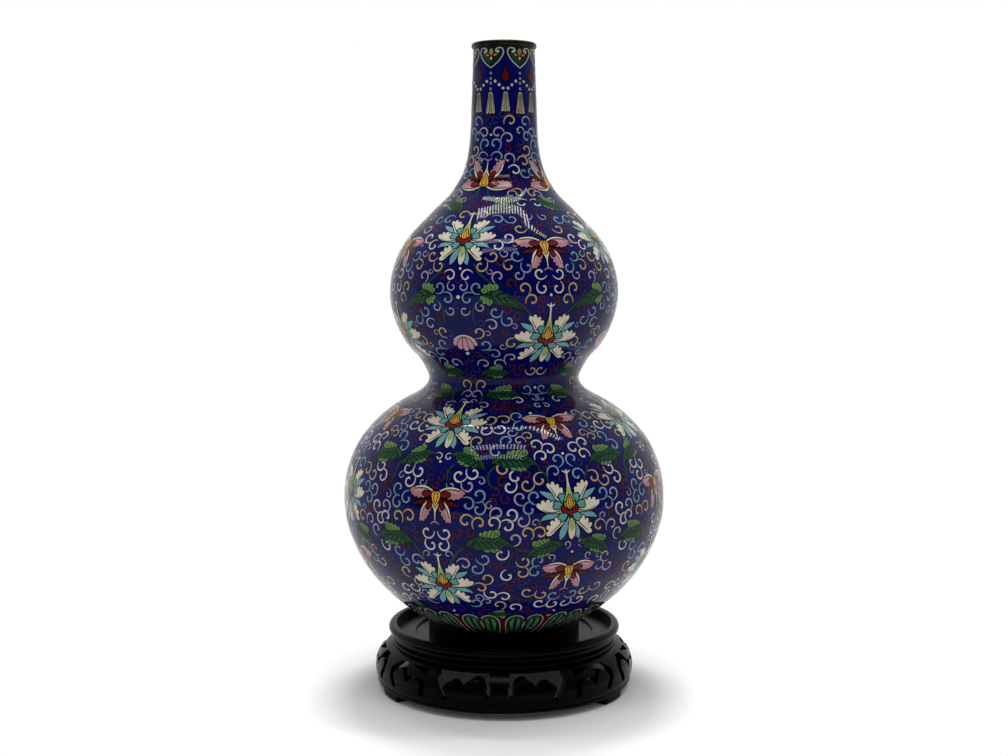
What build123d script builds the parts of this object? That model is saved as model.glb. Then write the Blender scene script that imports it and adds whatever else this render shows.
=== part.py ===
from build123d import *
import os
from bisect import bisect_left
from math import cos, radians, sin, sqrt

# Double gourd vase of cloisonne enamel on copper, standing loose in a carved hardwood stand.
# Millimetres, +Z up, origin on the centre line at the surface that the stand rests on.
# Angles run round the object from the front, -Y, towards +X.

# Stand: heights of its tiers, from the surface up
foot_height = 4.5
base_ring_height = 2.5
apron_height = 22.5
waist_height = 2.0
dish_thickness = 4.5
rim_height = 5.5
recess_depth = 1.5

# Stand: how often the carving repeats, and how far the stand is turned under the vase
leg_count = 3
stand_turn = -2.0

# Dish, from the vase's foot outwards
recess_margin = 8.285
recess_chamfer = 0.6
dish_floor_width = 12.7
rim_width = 5.2
rim_bead_width = 2.7
rim_edge_radius = 0.8
cove_depth = 2.6

# Waist ring and base ring, each with a half-round edge
waist_inset = 0.1
base_ring_inset = 1.3
base_ring_width = 10.5

# Apron, set in under the dish's rim and swelling out below it
rim_overhang = 2.0
apron_swell = 10.8
apron_belly_height = 7.2
apron_wall = 6.3
apron_top_wall = 3.5
apron_foot_width = 7.7
apron_flange_width = 13.5
apron_flange_thickness = 3.5
window_back_gap = 6.0
slot_width = 4.2
cut_overrun = 2.0

# Apron windows, as shares of half a panel round the stand and of the apron's height
arch_window_share = 0.57
arch_corner_shares = ((0.14, 0.51), (0.87, 0.51), (0.98, 0.93), (0.19, 0.93))
arch_lobe_shares = (((0.377, 0.444), (0.165, 0.356)), ((0.687, 0.467), (0.14, 0.231)))
arch_slot_shares = (((0.177, 0.431), (0.177, 0.578)), ((0.813, 0.276), (0.92, 0.667)))
scroll_window_share = 1.533
scroll_corner_shares = (
    (1.13, 0.44),
    (1.9, 0.44),
    (1.9, 0.689),
    (1.75, 0.902),
    (1.583, 0.902),
    (1.5, 0.64),
    (1.13, 0.62),
)
scroll_lobe_shares = (((1.673, 0.4), (0.155, 0.329)), ((1.333, 0.378), (0.15, 0.213)))
scroll_slot_shares = (((1.173, 0.533), (1.187, 0.276)), ((1.853, 0.489), (1.787, 0.267)))
leaf_window_share = 1.28
leaf_corner_shares = ((1.153, 0.751), (1.483, 0.902), (1.143, 0.902))

# Feet under the legs
foot_top_width = 25.0
foot_bottom_width = 17.0
foot_inset = 0.7
foot_depth = 13.3
foot_edge_radius = 1.2

# Pegs that hold the stand's tiers together
peg_diameter = 2.6
peg_clearance = 0.05
peg_end_gap = 0.3
tier_peg_inset = 7.5
tier_peg_bite = 2.6
foot_peg_inset = 2.8
foot_peg_bite = 2.8
foot_peg_rise = 5.0

# Vase: heights of its stretches, from its foot up
foot_ring_height = 11.3
underside_height = 78.6
lower_shoulder_height = 78.1
upper_belly_height = 54.8
upper_shoulder_height = 98.7
neck_height = 58.5

# Vase: radii of its skin
lower_bulb_radius = 103.7
pinch_radius = 48.2
pinch_arc_radius = 8.0
upper_bulb_radius = 73.3
neck_base_radius = 21.5
neck_top_radius = 19.3

# Vase: how full each stretch of the outline is, where 2 is an ellipse and more is squarer
underside_fullness = 1.9
lower_shoulder_fullness = 2.15
upper_fullness = 2.0

# Vase: where each stretch's own pole would lie, as a share of the stretch's height
underside_pole_share = 1.159
lower_shoulder_pole_share = 1.004
upper_belly_pole_share = 1.159
upper_shoulder_pole_share = 0.643
neck_sweep_share = 0.58

# Vase: gauge stations on the outline, as shares of a pole height, a radius or the neck's height
underside_shares = (0.93, 0.84, 0.75, 0.65, 0.54, 0.43, 0.32, 0.21, 0.1)
lower_shoulder_shares = (0.0, 0.13, 0.26, 0.39, 0.51, 0.62, 0.72, 0.8, 0.845)
pinch_shares = (-0.7, 0.0, 0.7)
upper_bulb_shares = (0.68, 0.56, 0.44, 0.3, 0.15)
neck_sweep_shares = (0.768, 0.663, 0.541, 0.419)
neck_shares = (0.11, 0.5, 0.95, 1.05)

# Vase: walls
enamel_thickness = 0.9
copper_thickness = 1.1
lining_thickness = 0.4
wall_samples = 72

# Vase: mouth ring, foot ring and base
mouth_ring_height = 3.6
lip_radius = 20.7
lip_round = 0.9
mouth_bore_radius = 15.9
mouth_sleeve_height = 10.0
mouth_sleeve_gap = 0.15
foot_ring_wall = 2.2
foot_ledge_width = 7.0
foot_ledge_thickness = 1.3
base_plate_thickness = 1.2
base_plate_gap = 0.3
base_margin_width = 4.0
base_dome_rise = 2.4
base_enamel_thickness = 0.6
base_enamel_gap = 0.2

# Levels
apron_z = foot_height + base_ring_height
waist_z = apron_z + apron_height
dish_z = waist_z + waist_height
floor_z = dish_z + dish_thickness
rim_z = floor_z + rim_height
seat_z = floor_z - recess_depth
foot_top_z = seat_z + foot_ring_height
lower_equator_z = foot_top_z + underside_height
pinch_z = lower_equator_z + lower_shoulder_height
upper_equator_z = pinch_z + upper_belly_height
neck_base_z = upper_equator_z + upper_shoulder_height
mouth_z = neck_base_z + neck_height
mouth_seat_z = mouth_z - mouth_ring_height

# Depths of the wall's layers below the skin
copper_depth = enamel_thickness
lining_depth = enamel_thickness + copper_thickness
wall_depth = lining_depth + lining_thickness


# Outline of the vase: two bulbs by formula, joined by the pinch and by the neck's sweep
def bulb_radius(step, radius, pole, fullness):
    """Radius of a bulb at a step above or below its widest ring."""
    return radius * (1 - (step / pole) ** fullness) ** (1 / fullness)


def bulb_stations(shares, equator_z, direction, radius, pole, fullness):
    """Gauge stations of a bulb's half, above its widest ring or below it."""
    steps = [pole * share for share in shares]
    return [(bulb_radius(s, radius, pole, fullness), equator_z + direction * s) for s in steps]


def outline_stations():
    """The vase's skin from inside the foot up past the mouth, as radius and height."""
    underside_pole = underside_height * underside_pole_share
    shoulder_pole = lower_shoulder_height * lower_shoulder_pole_share
    belly_pole = upper_belly_height * upper_belly_pole_share
    top_pole = upper_shoulder_height * upper_shoulder_pole_share
    sweep = upper_shoulder_height * neck_sweep_share
    stations = bulb_stations(
        underside_shares, lower_equator_z, -1, lower_bulb_radius, underside_pole, underside_fullness
    )
    stations += bulb_stations(
        lower_shoulder_shares, lower_equator_z, 1, lower_bulb_radius, shoulder_pole, lower_shoulder_fullness
    )
    for share in pinch_shares:
        swing = pinch_arc_radius * (1 - sqrt(1 - share**2))
        stations.append((pinch_radius + swing, pinch_z + pinch_arc_radius * share))
    stations += bulb_stations(
        upper_bulb_shares, upper_equator_z, -1, upper_bulb_radius, belly_pole, upper_fullness
    )
    stations.append((upper_bulb_radius, upper_equator_z))
    stations += bulb_stations(
        upper_bulb_shares[::-1], upper_equator_z, 1, upper_bulb_radius, top_pole, upper_fullness
    )
    for share in neck_sweep_shares:
        swing = sweep * (1 - sqrt(1 - share**2))
        stations.append((neck_base_radius + swing, neck_base_z - sweep * share))
    for share in neck_shares:
        radius = neck_base_radius + (neck_top_radius - neck_base_radius) * share
        stations.append((radius, neck_base_z + neck_height * share))
    return stations


with BuildLine():
    skin = Spline(*outline_stations())


def wall_line(depth):
    """Points of the line that lies a depth inside the skin, all along it."""
    points = []
    for step in range(wall_samples + 1):
        place = skin @ (step / wall_samples)
        along = skin % (step / wall_samples)
        points.append((place.X - along.Y * depth, place.Y + along.X * depth))
    return points


def wall_radius(depth, z):
    """Radius of a wall line at a height, between its two nearest points."""
    points = wall_line(depth)
    above = bisect_left([height for _, height in points], z)
    (low_r, low_z), (high_r, high_z) = points[above - 1], points[above]
    return low_r + (high_r - low_r) * (z - low_z) / (high_z - low_z)


def wall_layer(outer_depth, inner_depth, low_z, high_z):
    """A layer of the vase's wall, turned round its axis and cut off level at two heights."""
    with BuildPart() as layer:
        with BuildSketch(Plane.XZ):
            with BuildLine():
                outer = Spline(*wall_line(outer_depth))
                inner = Spline(*wall_line(inner_depth))
                Line(outer @ 0, inner @ 0)
                Line(outer @ 1, inner @ 1)
            make_face()
        revolve(axis=Axis.Z)
        split(bisect_by=Plane.XY.offset(low_z), keep=Keep.TOP)
        split(bisect_by=Plane.XY.offset(high_z), keep=Keep.BOTTOM)
    return layer


# Enamel: fused glass outside the copper, and a thin counter-enamel inside it
enamel_coat = wall_layer(0, copper_depth, foot_top_z, mouth_seat_z)
lining_enamel = wall_layer(lining_depth, wall_depth, foot_top_z, mouth_seat_z)

# Copper body, raised in five sections that meet at soldered seams
copper_lower_belly = wall_layer(copper_depth, lining_depth, foot_top_z, lower_equator_z)
copper_lower_shoulder = wall_layer(copper_depth, lining_depth, lower_equator_z, pinch_z)
copper_upper_belly = wall_layer(copper_depth, lining_depth, pinch_z, upper_equator_z)
copper_upper_shoulder = wall_layer(copper_depth, lining_depth, upper_equator_z, neck_base_z)
copper_neck = wall_layer(copper_depth, lining_depth, neck_base_z, mouth_seat_z)

# Mouth ring: a rolled lip on the wall's end, with a sleeve inside the neck that is the bore
with BuildPart() as mouth_ring:
    seat_radius = wall_radius(0, mouth_seat_z)
    sleeve_radius = wall_radius(wall_depth, mouth_seat_z) - mouth_sleeve_gap
    sleeve_z = mouth_z - mouth_sleeve_height
    lip_half = mouth_ring_height / 2
    with BuildSketch(Plane.XZ):
        with BuildLine():
            Polyline(
                (mouth_bore_radius, mouth_z - lip_round),
                (mouth_bore_radius, sleeve_z),
                (sleeve_radius, sleeve_z),
                (sleeve_radius, mouth_seat_z),
                (seat_radius, mouth_seat_z),
            )
            EllipticalCenterArc(
                (seat_radius, mouth_seat_z + lip_half), lip_radius - seat_radius, lip_half, -90, arc_size=180
            )
            Line((seat_radius, mouth_z), (mouth_bore_radius + lip_round, mouth_z))
            CenterArc((mouth_bore_radius + lip_round, mouth_z - lip_round), lip_round, 90, 90)
        make_face()
    revolve(axis=Axis.Z)

# Foot ring: an upright copper band with a ledge turned in under the wall and the base plate
foot_radius = wall_radius(0, foot_top_z)
ledge_radius = foot_radius - foot_ledge_width
with BuildPart() as foot_ring:
    with BuildSketch(Plane.XZ):
        with BuildLine():
            Polyline(
                (foot_radius, seat_z),
                (foot_radius, foot_top_z),
                (ledge_radius, foot_top_z),
                (ledge_radius, foot_top_z - foot_ledge_thickness),
                (foot_radius - foot_ring_wall, foot_top_z - foot_ledge_thickness),
                (foot_radius - foot_ring_wall, seat_z),
                close=True,
            )
        make_face()
    revolve(axis=Axis.Z)


def domed_disc(radius, underside_z, thickness):
    """A disc with a level margin and a middle that rises in a low dome."""
    dome_radius = ledge_radius - base_margin_width
    with BuildPart() as disc:
        with BuildSketch(Plane.XZ):
            with BuildLine():
                lower = TangentArc(
                    (0, underside_z + base_dome_rise), (dome_radius, underside_z), tangent=(1, 0)
                )
                upper = TangentArc(
                    (0, underside_z + thickness + base_dome_rise),
                    (dome_radius, underside_z + thickness),
                    tangent=(1, 0),
                )
                Line(lower @ 0, upper @ 0)
                Polyline(
                    lower @ 1,
                    (radius, underside_z),
                    (radius, underside_z + thickness),
                    upper @ 1,
                )
            make_face()
        revolve(axis=Axis.Z)
    return disc


# Base: a domed copper plate that closes the bulb, with enamel on its underside
base_plate_radius = wall_radius(wall_depth, foot_top_z) - base_plate_gap
base_enamel_radius = ledge_radius - base_enamel_gap
base_enamel_z = foot_top_z - base_enamel_thickness
base_plate = domed_disc(base_plate_radius, foot_top_z, base_plate_thickness)
base_enamel = domed_disc(base_enamel_radius, base_enamel_z, base_enamel_thickness)

# Stand: radii, each from the one before it, out from the vase's foot and then down
recess_radius = foot_radius + recess_margin
rim_inner_radius = recess_radius + dish_floor_width
rim_radius = rim_inner_radius + rim_width
rim_neck_radius = rim_radius - rim_bead_width
apron_top_radius = rim_radius - rim_overhang
apron_flange_inner_radius = apron_top_radius - apron_flange_width
apron_back_top_radius = apron_top_radius - apron_top_wall
window_back_radius = apron_back_top_radius - window_back_gap
apron_belly_radius = apron_top_radius + apron_swell
waist_radius = apron_top_radius - waist_inset
base_ring_radius = apron_belly_radius - base_ring_inset
base_ring_inner_radius = base_ring_radius - base_ring_width
foot_outer_radius = base_ring_radius - foot_inset
foot_inner_radius = foot_outer_radius - foot_depth
tier_peg_circle = apron_top_radius - tier_peg_inset
foot_peg_circle = foot_outer_radius - foot_peg_inset

# Stand: angles of the legs and panels, and where the pegs stand
leg_pitch = 360 / leg_count
half_panel_angle = leg_pitch / 4
panel_angles = [leg_pitch * panel for panel in range(leg_count)]
leg_angles = [angle + leg_pitch / 2 for angle in panel_angles]
tier_peg_angles = [angle + side * half_panel_angle for angle in panel_angles for side in (-1, 1)]


def round_the_stand(angle):
    """Upright plane through the axis that faces outwards at an angle, its own Y up."""
    turn = radians(angle + stand_turn)
    return Plane(origin=(0, 0, 0), x_dir=(cos(turn), sin(turn), 0), z_dir=(sin(turn), -cos(turn), 0))


def on_circle(radius, angle):
    """Point of a level circle at an angle round the stand."""
    turn = radians(angle + stand_turn)
    return (radius * sin(turn), -radius * cos(turn))


def drill(radius, angles, bottom_z, top_z):
    """Peg holes on a circle, from one level to another, in the piece that is being built."""
    with BuildSketch(Plane.XY.offset(bottom_z)) as holes:
        with Locations(*[on_circle(radius, angle) for angle in angles]):
            Circle(peg_diameter / 2 + peg_clearance)
    extrude(holes.sketch, amount=top_z - bottom_z, mode=Mode.SUBTRACT)


def pegs(radius, angles, bottom_z, top_z):
    """A group of pegs on a circle, each a little shorter than its hole."""
    with BuildPart() as group:
        with BuildSketch(Plane.XY.offset(bottom_z + peg_end_gap)):
            with Locations(*[on_circle(radius, angle) for angle in angles]):
                Circle(peg_diameter / 2)
        extrude(amount=top_z - bottom_z - 2 * peg_end_gap)
    return group


# Pegs: six through the waist, and one up through each foot
tier_peg_levels = (waist_z - tier_peg_bite, dish_z + tier_peg_bite)
foot_peg_levels = (foot_height - foot_peg_bite, apron_z + foot_peg_rise)
tier_pegs = pegs(tier_peg_circle, tier_peg_angles, *tier_peg_levels)
foot_pegs = pegs(foot_peg_circle, leg_angles, *foot_peg_levels)

# Dish: one turned board with a beaded rim, a cove under it and a recess for the vase's foot
with BuildPart() as dish:
    with BuildSketch(Plane.XZ):
        with BuildLine():
            EllipticalCenterArc(
                (rim_neck_radius, floor_z + rim_height / 2),
                rim_radius - rim_neck_radius,
                rim_height / 2,
                -90,
                arc_size=180,
            )
            Polyline(
                (rim_neck_radius, rim_z),
                (rim_inner_radius, rim_z),
                (rim_inner_radius, floor_z),
                (recess_radius + recess_chamfer, floor_z),
                (recess_radius, floor_z - recess_chamfer),
                (recess_radius, seat_z),
                (0, seat_z),
                (0, dish_z),
                (rim_neck_radius, dish_z),
            )
            EllipticalCenterArc(
                (rim_neck_radius, dish_z + dish_thickness / 2),
                cove_depth,
                dish_thickness / 2,
                -90,
                arc_size=-180,
            )
        make_face()
    revolve(axis=Axis.Z)
    rim_edges = dish.edges().filter_by(GeomType.CIRCLE).group_by(Axis.Z)[-1]
    fillet(rim_edges.sort_by(SortBy.RADIUS)[0], radius=rim_edge_radius)
    drill(tier_peg_circle, tier_peg_angles, dish_z, tier_peg_levels[1])


def beaded_ring(outer_radius, inner_radius, bottom_z, top_z):
    """A flat ring with a half-round outer edge."""
    half = (top_z - bottom_z) / 2
    with BuildPart() as ring:
        with BuildSketch(Plane.XZ):
            with BuildLine():
                CenterArc((outer_radius - half, bottom_z + half), half, -90, 180)
                Polyline(
                    (outer_radius - half, top_z),
                    (inner_radius, top_z),
                    (inner_radius, bottom_z),
                    (outer_radius - half, bottom_z),
                )
            make_face()
        revolve(axis=Axis.Z)
    return ring


# Waist: a thin ring between the dish and the apron
with BuildPart() as waist_ring:
    add(beaded_ring(waist_radius, apron_flange_inner_radius, waist_z, dish_z).part)
    drill(tier_peg_circle, tier_peg_angles, waist_z, dish_z)

# Base ring: the rail that ties the legs together at the bottom
with BuildPart() as base_ring:
    add(beaded_ring(base_ring_radius, base_ring_inner_radius, foot_height, apron_z).part)
    drill(foot_peg_circle, leg_angles, foot_height, apron_z)

# Apron: a swelling wall with a flange on top, which is what the windows are cut through
belly_z = apron_z + apron_belly_height
belly_rise = waist_z - belly_z
belly_swell = apron_belly_radius - apron_top_radius
belly_arc_radius = (belly_rise**2 + belly_swell**2) / (2 * belly_swell)
belly_arc_centre = apron_belly_radius - belly_arc_radius
apron_bottom_radius = belly_arc_centre + sqrt(belly_arc_radius**2 - apron_belly_height**2)
flange_z = waist_z - apron_flange_thickness


def cut_window(panel_angle, side, window_share, corner_shares, lobe_shares=(), slot_shares=()):
    """Cuts a window through the apron: a cornered opening, the lobes left in it, and its slots."""

    def place(across_share, up_share):
        swing = radians((across_share - window_share) * half_panel_angle)
        return Vector(side * apron_belly_radius * sin(swing), apron_z + apron_height * up_share)

    window_angle = panel_angle + side * window_share * half_panel_angle
    with BuildSketch(round_the_stand(window_angle).offset(window_back_radius)) as window:
        Polygon(*[place(*corner) for corner in corner_shares[::side]])
        for centre, (half_width_share, half_height_share) in lobe_shares:
            half_width = apron_belly_radius * radians(half_width_share * half_panel_angle)
            with Locations(place(*centre)):
                Ellipse(half_width, apron_height * half_height_share, mode=Mode.SUBTRACT)
        for start, end in slot_shares:
            SlotCenterPoint((place(*start) + place(*end)) / 2, place(*end), slot_width)
    cut_depth = apron_belly_radius + cut_overrun - window_back_radius
    extrude(window.sketch, amount=cut_depth, mode=Mode.SUBTRACT)


with BuildPart() as apron:
    with BuildSketch(Plane.XZ):
        with BuildLine():
            ThreePointArc(
                (apron_bottom_radius, apron_z),
                (apron_belly_radius, belly_z),
                (apron_top_radius, waist_z),
            )
            Polyline(
                (apron_top_radius, waist_z),
                (apron_flange_inner_radius, waist_z),
                (apron_flange_inner_radius, flange_z),
                (apron_back_top_radius, flange_z),
            )
            ThreePointArc(
                (apron_back_top_radius, flange_z),
                (apron_belly_radius - apron_wall, belly_z),
                (apron_bottom_radius - apron_foot_width, apron_z),
            )
            Line((apron_bottom_radius - apron_foot_width, apron_z), (apron_bottom_radius, apron_z))
        make_face()
    revolve(axis=Axis.Z)
    for panel_angle in panel_angles:
        for side in (-1, 1):
            cut_window(
                panel_angle, side, arch_window_share, arch_corner_shares, arch_lobe_shares, arch_slot_shares
            )
            cut_window(
                panel_angle,
                side,
                scroll_window_share,
                scroll_corner_shares,
                scroll_lobe_shares,
                scroll_slot_shares,
            )
            cut_window(panel_angle, side, leaf_window_share, leaf_corner_shares)
    drill(tier_peg_circle, tier_peg_angles, tier_peg_levels[0], waist_z)
    drill(foot_peg_circle, leg_angles, apron_z, foot_peg_levels[1])


def stand_foot(angle):
    """A low block with hollowed ends and a chamfered outer edge, under one leg."""
    flare = (foot_top_width - foot_bottom_width) / 2
    with BuildPart() as foot:
        with BuildSketch(round_the_stand(angle).offset(foot_inner_radius)):
            with BuildLine():
                Line((-foot_bottom_width / 2, 0), (foot_bottom_width / 2, 0))
                EllipticalCenterArc((foot_top_width / 2, 0), flare, foot_height, 90, arc_size=90)
                Line((foot_top_width / 2, foot_height), (-foot_top_width / 2, foot_height))
                EllipticalCenterArc((-foot_top_width / 2, 0), flare, foot_height, 0, arc_size=90)
            make_face()
        extrude(amount=foot_outer_radius - foot_inner_radius)
        with BuildSketch(Plane.XZ):
            with BuildLine():
                Polyline(
                    (0, 0),
                    (foot_outer_radius - foot_edge_radius, 0),
                    (foot_outer_radius, foot_edge_radius),
                    (foot_outer_radius, foot_height),
                    (0, foot_height),
                    close=True,
                )
            make_face()
        revolve(axis=Axis.Z, mode=Mode.INTERSECT)
        drill(foot_peg_circle, [angle], foot_peg_levels[0], foot_height)
    return foot


# Feet: two at the front and one at the back
foot_right, foot_back, foot_left = [stand_foot(angle) for angle in leg_angles]

pieces = {
    "mouth_ring": mouth_ring,
    "enamel_coat": enamel_coat,
    "copper_neck": copper_neck,
    "copper_upper_shoulder": copper_upper_shoulder,
    "copper_upper_belly": copper_upper_belly,
    "copper_lower_shoulder": copper_lower_shoulder,
    "copper_lower_belly": copper_lower_belly,
    "lining_enamel": lining_enamel,
    "foot_ring": foot_ring,
    "base_plate": base_plate,
    "base_enamel": base_enamel,
    "dish": dish,
    "waist_ring": waist_ring,
    "apron": apron,
    "base_ring": base_ring,
    "foot_right": foot_right,
    "foot_left": foot_left,
    "foot_back": foot_back,
    "tier_pegs": tier_pegs,
    "foot_pegs": foot_pegs,
}
os.makedirs("parts", exist_ok=True)
for name, piece in pieces.items():
    piece.part.label = name
    export_step(piece.part, f"parts/{name}.step")
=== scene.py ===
from math import atan, cos, hypot, pi, radians, sin

import bmesh
import bpy
import numpy as np
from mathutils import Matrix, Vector
from mathutils.geometry import tessellate_polygon
from mathutils.kdtree import KDTree


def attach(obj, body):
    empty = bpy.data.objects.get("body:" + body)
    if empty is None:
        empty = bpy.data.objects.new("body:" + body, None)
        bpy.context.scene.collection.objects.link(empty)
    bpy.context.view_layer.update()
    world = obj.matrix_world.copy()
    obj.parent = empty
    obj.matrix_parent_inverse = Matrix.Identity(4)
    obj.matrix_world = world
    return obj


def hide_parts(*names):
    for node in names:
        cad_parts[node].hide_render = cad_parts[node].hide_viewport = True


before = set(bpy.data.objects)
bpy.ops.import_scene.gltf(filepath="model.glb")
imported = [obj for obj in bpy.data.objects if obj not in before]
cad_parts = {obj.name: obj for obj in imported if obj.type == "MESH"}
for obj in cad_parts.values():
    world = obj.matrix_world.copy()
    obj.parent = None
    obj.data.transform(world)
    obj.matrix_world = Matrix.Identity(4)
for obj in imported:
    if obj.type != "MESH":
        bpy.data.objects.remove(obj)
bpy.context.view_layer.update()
bpy.ops.object.select_all(action="DESELECT")

# Camera: where the photo was taken from, 0.94 m in front of the vase and 0.29 m up,
# looking a little down.
camera_distance, camera_height = 0.9427, 0.2904
focal_pixels, pitch_pixels, frame_pixels = 1460, 138, 1008
bpy.ops.object.camera_add(
    location=(0, -camera_distance, camera_height),
    rotation=(pi / 2 - atan(pitch_pixels / focal_pixels), 0, 0),
)
camera = bpy.context.object
camera.data.lens = camera.data.sensor_width * focal_pixels / frame_pixels
bpy.context.scene.camera = camera
bpy.context.scene.view_settings.view_transform = "Standard"

# Enamel ground: the fired cobalt glass that covers the whole copper body outside.
# It is turned as one smooth skin, on the outline that the model's own coat has.
mm = 0.001
turning_steps, turning_spacing, levels_per_mm = 160, 1.7 * mm, 2
widest = {}
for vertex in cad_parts["enamel_coat"].data.vertices:
    radius, height = hypot(vertex.co.x, vertex.co.y), vertex.co.z
    level = round(height / mm * levels_per_mm)
    if radius > widest.get(level, (0, 0))[0]:
        widest[level] = (radius, height)
spots = sorted(widest.values(), key=lambda spot: spot[1])
outline = spots[:1]
for spot in spots[1:]:
    if hypot(spot[0] - outline[-1][0], spot[1] - outline[-1][1]) > turning_spacing:
        outline.append(spot)
outline = np.array(outline[:-1] + spots[-1:])
arc = np.concatenate(([0], np.cumsum(np.hypot(*np.diff(outline, axis=0).T))))
slope = np.gradient(outline, arc, axis=0)


def on_skin(azimuth, rise, lift):
    """Places on the vase's skin, from degrees round it, the way up it and a height above it."""
    turn = np.radians(azimuth)
    out = np.interp(rise, arc, outline[:, 0]) + lift * np.interp(rise, arc, slope[:, 1])
    up = np.interp(rise, arc, outline[:, 1]) - lift * np.interp(rise, arc, slope[:, 0])
    return np.stack([out * np.sin(turn), -out * np.cos(turn), up], axis=-1)


def display(red, green, blue):
    """A colour as it looks, turned into the light that it gives back."""
    return tuple(channel**2.2 for channel in (red, green, blue))


bpy.ops.mesh.primitive_grid_add(
    x_subdivisions=turning_steps, y_subdivisions=len(outline) - 1, size=1
)
ground = bpy.context.object
ground.name = "enamel_ground"
across = np.array([vertex.co.x + 0.5 for vertex in ground.data.vertices])
along = np.array([vertex.co.y + 0.5 for vertex in ground.data.vertices])
row = np.rint(along * (len(outline) - 1)).astype(int)
ground.data.vertices.foreach_set("co", on_skin(across * 360, arc[row], 0).ravel())
bpy.ops.object.mode_set(mode="EDIT")
bpy.ops.mesh.select_all(action="SELECT")
bpy.ops.mesh.remove_doubles(threshold=0.01 * mm)
bpy.ops.mesh.normals_make_consistent(inside=False)
bpy.ops.object.mode_set(mode="OBJECT")
bpy.ops.object.shade_smooth()


def node_group(name, inputs, outputs):
    """An empty shader group with its sockets made."""
    group = bpy.data.node_groups.new(name, "ShaderNodeTree")
    for socket, kind, value in inputs:
        group.interface.new_socket(socket, in_out="INPUT", socket_type=kind).default_value = value
    for socket, kind in outputs:
        group.interface.new_socket(socket, in_out="OUTPUT", socket_type=kind)
    return group, group.nodes.new("NodeGroupInput"), group.nodes.new("NodeGroupOutput")


def node(tree, kind, links={}, **settings):
    """A shader node with its settings made and its inputs linked or set."""
    made = tree.nodes.new(kind)
    for name, value in settings.items():
        setattr(made, name, value)
    for socket, value in links.items():
        if isinstance(value, bpy.types.NodeSocket):
            tree.links.new(value, made.inputs[socket])
        else:
            made.inputs[socket].default_value = value
    return made


def blend_colours(tree, factor, first, second, blend="MIX"):
    """A colour mix of two colours, by a mask or a share."""
    mix = node(tree, "ShaderNodeMix", data_type="RGBA", blend_type=blend)
    for socket, value in zip((0, 6, 7), (factor, first, second)):
        if isinstance(value, bpy.types.NodeSocket):
            tree.links.new(value, mix.inputs[socket])
        else:
            mix.inputs[socket].default_value = value
    return mix.outputs[2]


def spread(tree, value, reach, result):
    """A value stretched from its own reach to a result, and held there past both ends."""
    links = {"Value": value}
    links.update(zip(("From Min", "From Max", "To Min", "To Max"), (*reach, *result)))
    return node(tree, "ShaderNodeMapRange", links).outputs[0]


def new_material(name, values):
    """A material, its node tree, and its shader with plain values on some of its sockets."""
    material = bpy.data.materials.new(name)
    material.use_nodes = True
    shader = material.node_tree.nodes["Principled BSDF"]
    for socket, value in values.items():
        shader.inputs[socket].default_value = value
    return material, material.node_tree, shader


glaze_group, glaze_in, glaze_out = node_group(
    "Fired glaze",
    [("Glaze", "NodeSocketColor", (1, 1, 1, 1)), ("Cloud", "NodeSocketFloat", 0.2)],
    [("Glaze", "NodeSocketColor"), ("Roughness", "NodeSocketFloat"), ("Normal", "NodeSocketVector")],
)
place = node(glaze_group, "ShaderNodeTexCoord").outputs["Object"]
cloud = node(glaze_group, "ShaderNodeTexNoise", {"Vector": place, "Scale": 95, "Detail": 4})
grain = node(glaze_group, "ShaderNodeTexNoise", {"Vector": place, "Scale": 1500, "Detail": 2})
pits = node(glaze_group, "ShaderNodeTexVoronoi", {"Vector": place, "Scale": 700})
noise_reach = 0.3, 0.7
shade = spread(glaze_group, cloud.outputs["Fac"], noise_reach, (0.75, 1.2))
fine = spread(glaze_group, grain.outputs["Fac"], noise_reach, (0.85, 1.12))
both = node(glaze_group, "ShaderNodeMath", {0: shade, 1: fine}, operation="MULTIPLY")
tone = blend_colours(glaze_group, glaze_in.outputs["Cloud"], (1, 1, 1, 1), both.outputs[0])
glazed = blend_colours(glaze_group, 1, glaze_in.outputs["Glaze"], tone, "MULTIPLY")
polish = spread(glaze_group, grain.outputs["Fac"], noise_reach, (0.02, 0.05))
pit_mask = spread(glaze_group, pits.outputs["Distance"], (0.1, 0.2), (0, 1))
dents = node(glaze_group, "ShaderNodeBump", {"Height": pit_mask, "Strength": 0.12, "Distance": 0.05 * mm})
for socket, value in (("Glaze", glazed), ("Roughness", polish), ("Normal", dents.outputs[0])):
    glaze_group.links.new(value, glaze_out.inputs[socket])


def enamel(name, colour=None, cloud_share=1.0):
    """Glossy fired enamel: one colour, or the colours and wires that a piece's cells carry."""
    material, tree, shader = new_material(name, {"IOR": 1.5, "Specular IOR Level": 0.1})
    glaze = node(tree, "ShaderNodeGroup", node_tree=glaze_group)
    glaze.inputs["Cloud"].default_value = cloud_share
    if colour:
        glaze.inputs["Glaze"].default_value = (*colour, 1)
    else:
        cells = node(tree, "ShaderNodeVertexColor", layer_name="glaze")
        tree.links.new(cells.outputs["Color"], glaze.inputs["Glaze"])
        wire = node(tree, "ShaderNodeMath", {0: 1.0, 1: cells.outputs["Alpha"]}, operation="SUBTRACT")
        tree.links.new(wire.outputs[0], shader.inputs["Metallic"])
    for given, socket in (("Glaze", "Base Color"), ("Roughness", "Roughness"), ("Normal", "Normal")):
        tree.links.new(glaze.outputs[given], shader.inputs[socket])
    return material


cobalt = enamel("cobalt ground", display(0.045, 0.06, 0.295))
ground.data.materials.append(cobalt)
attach(ground, "vase")
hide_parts("enamel_coat")

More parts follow.
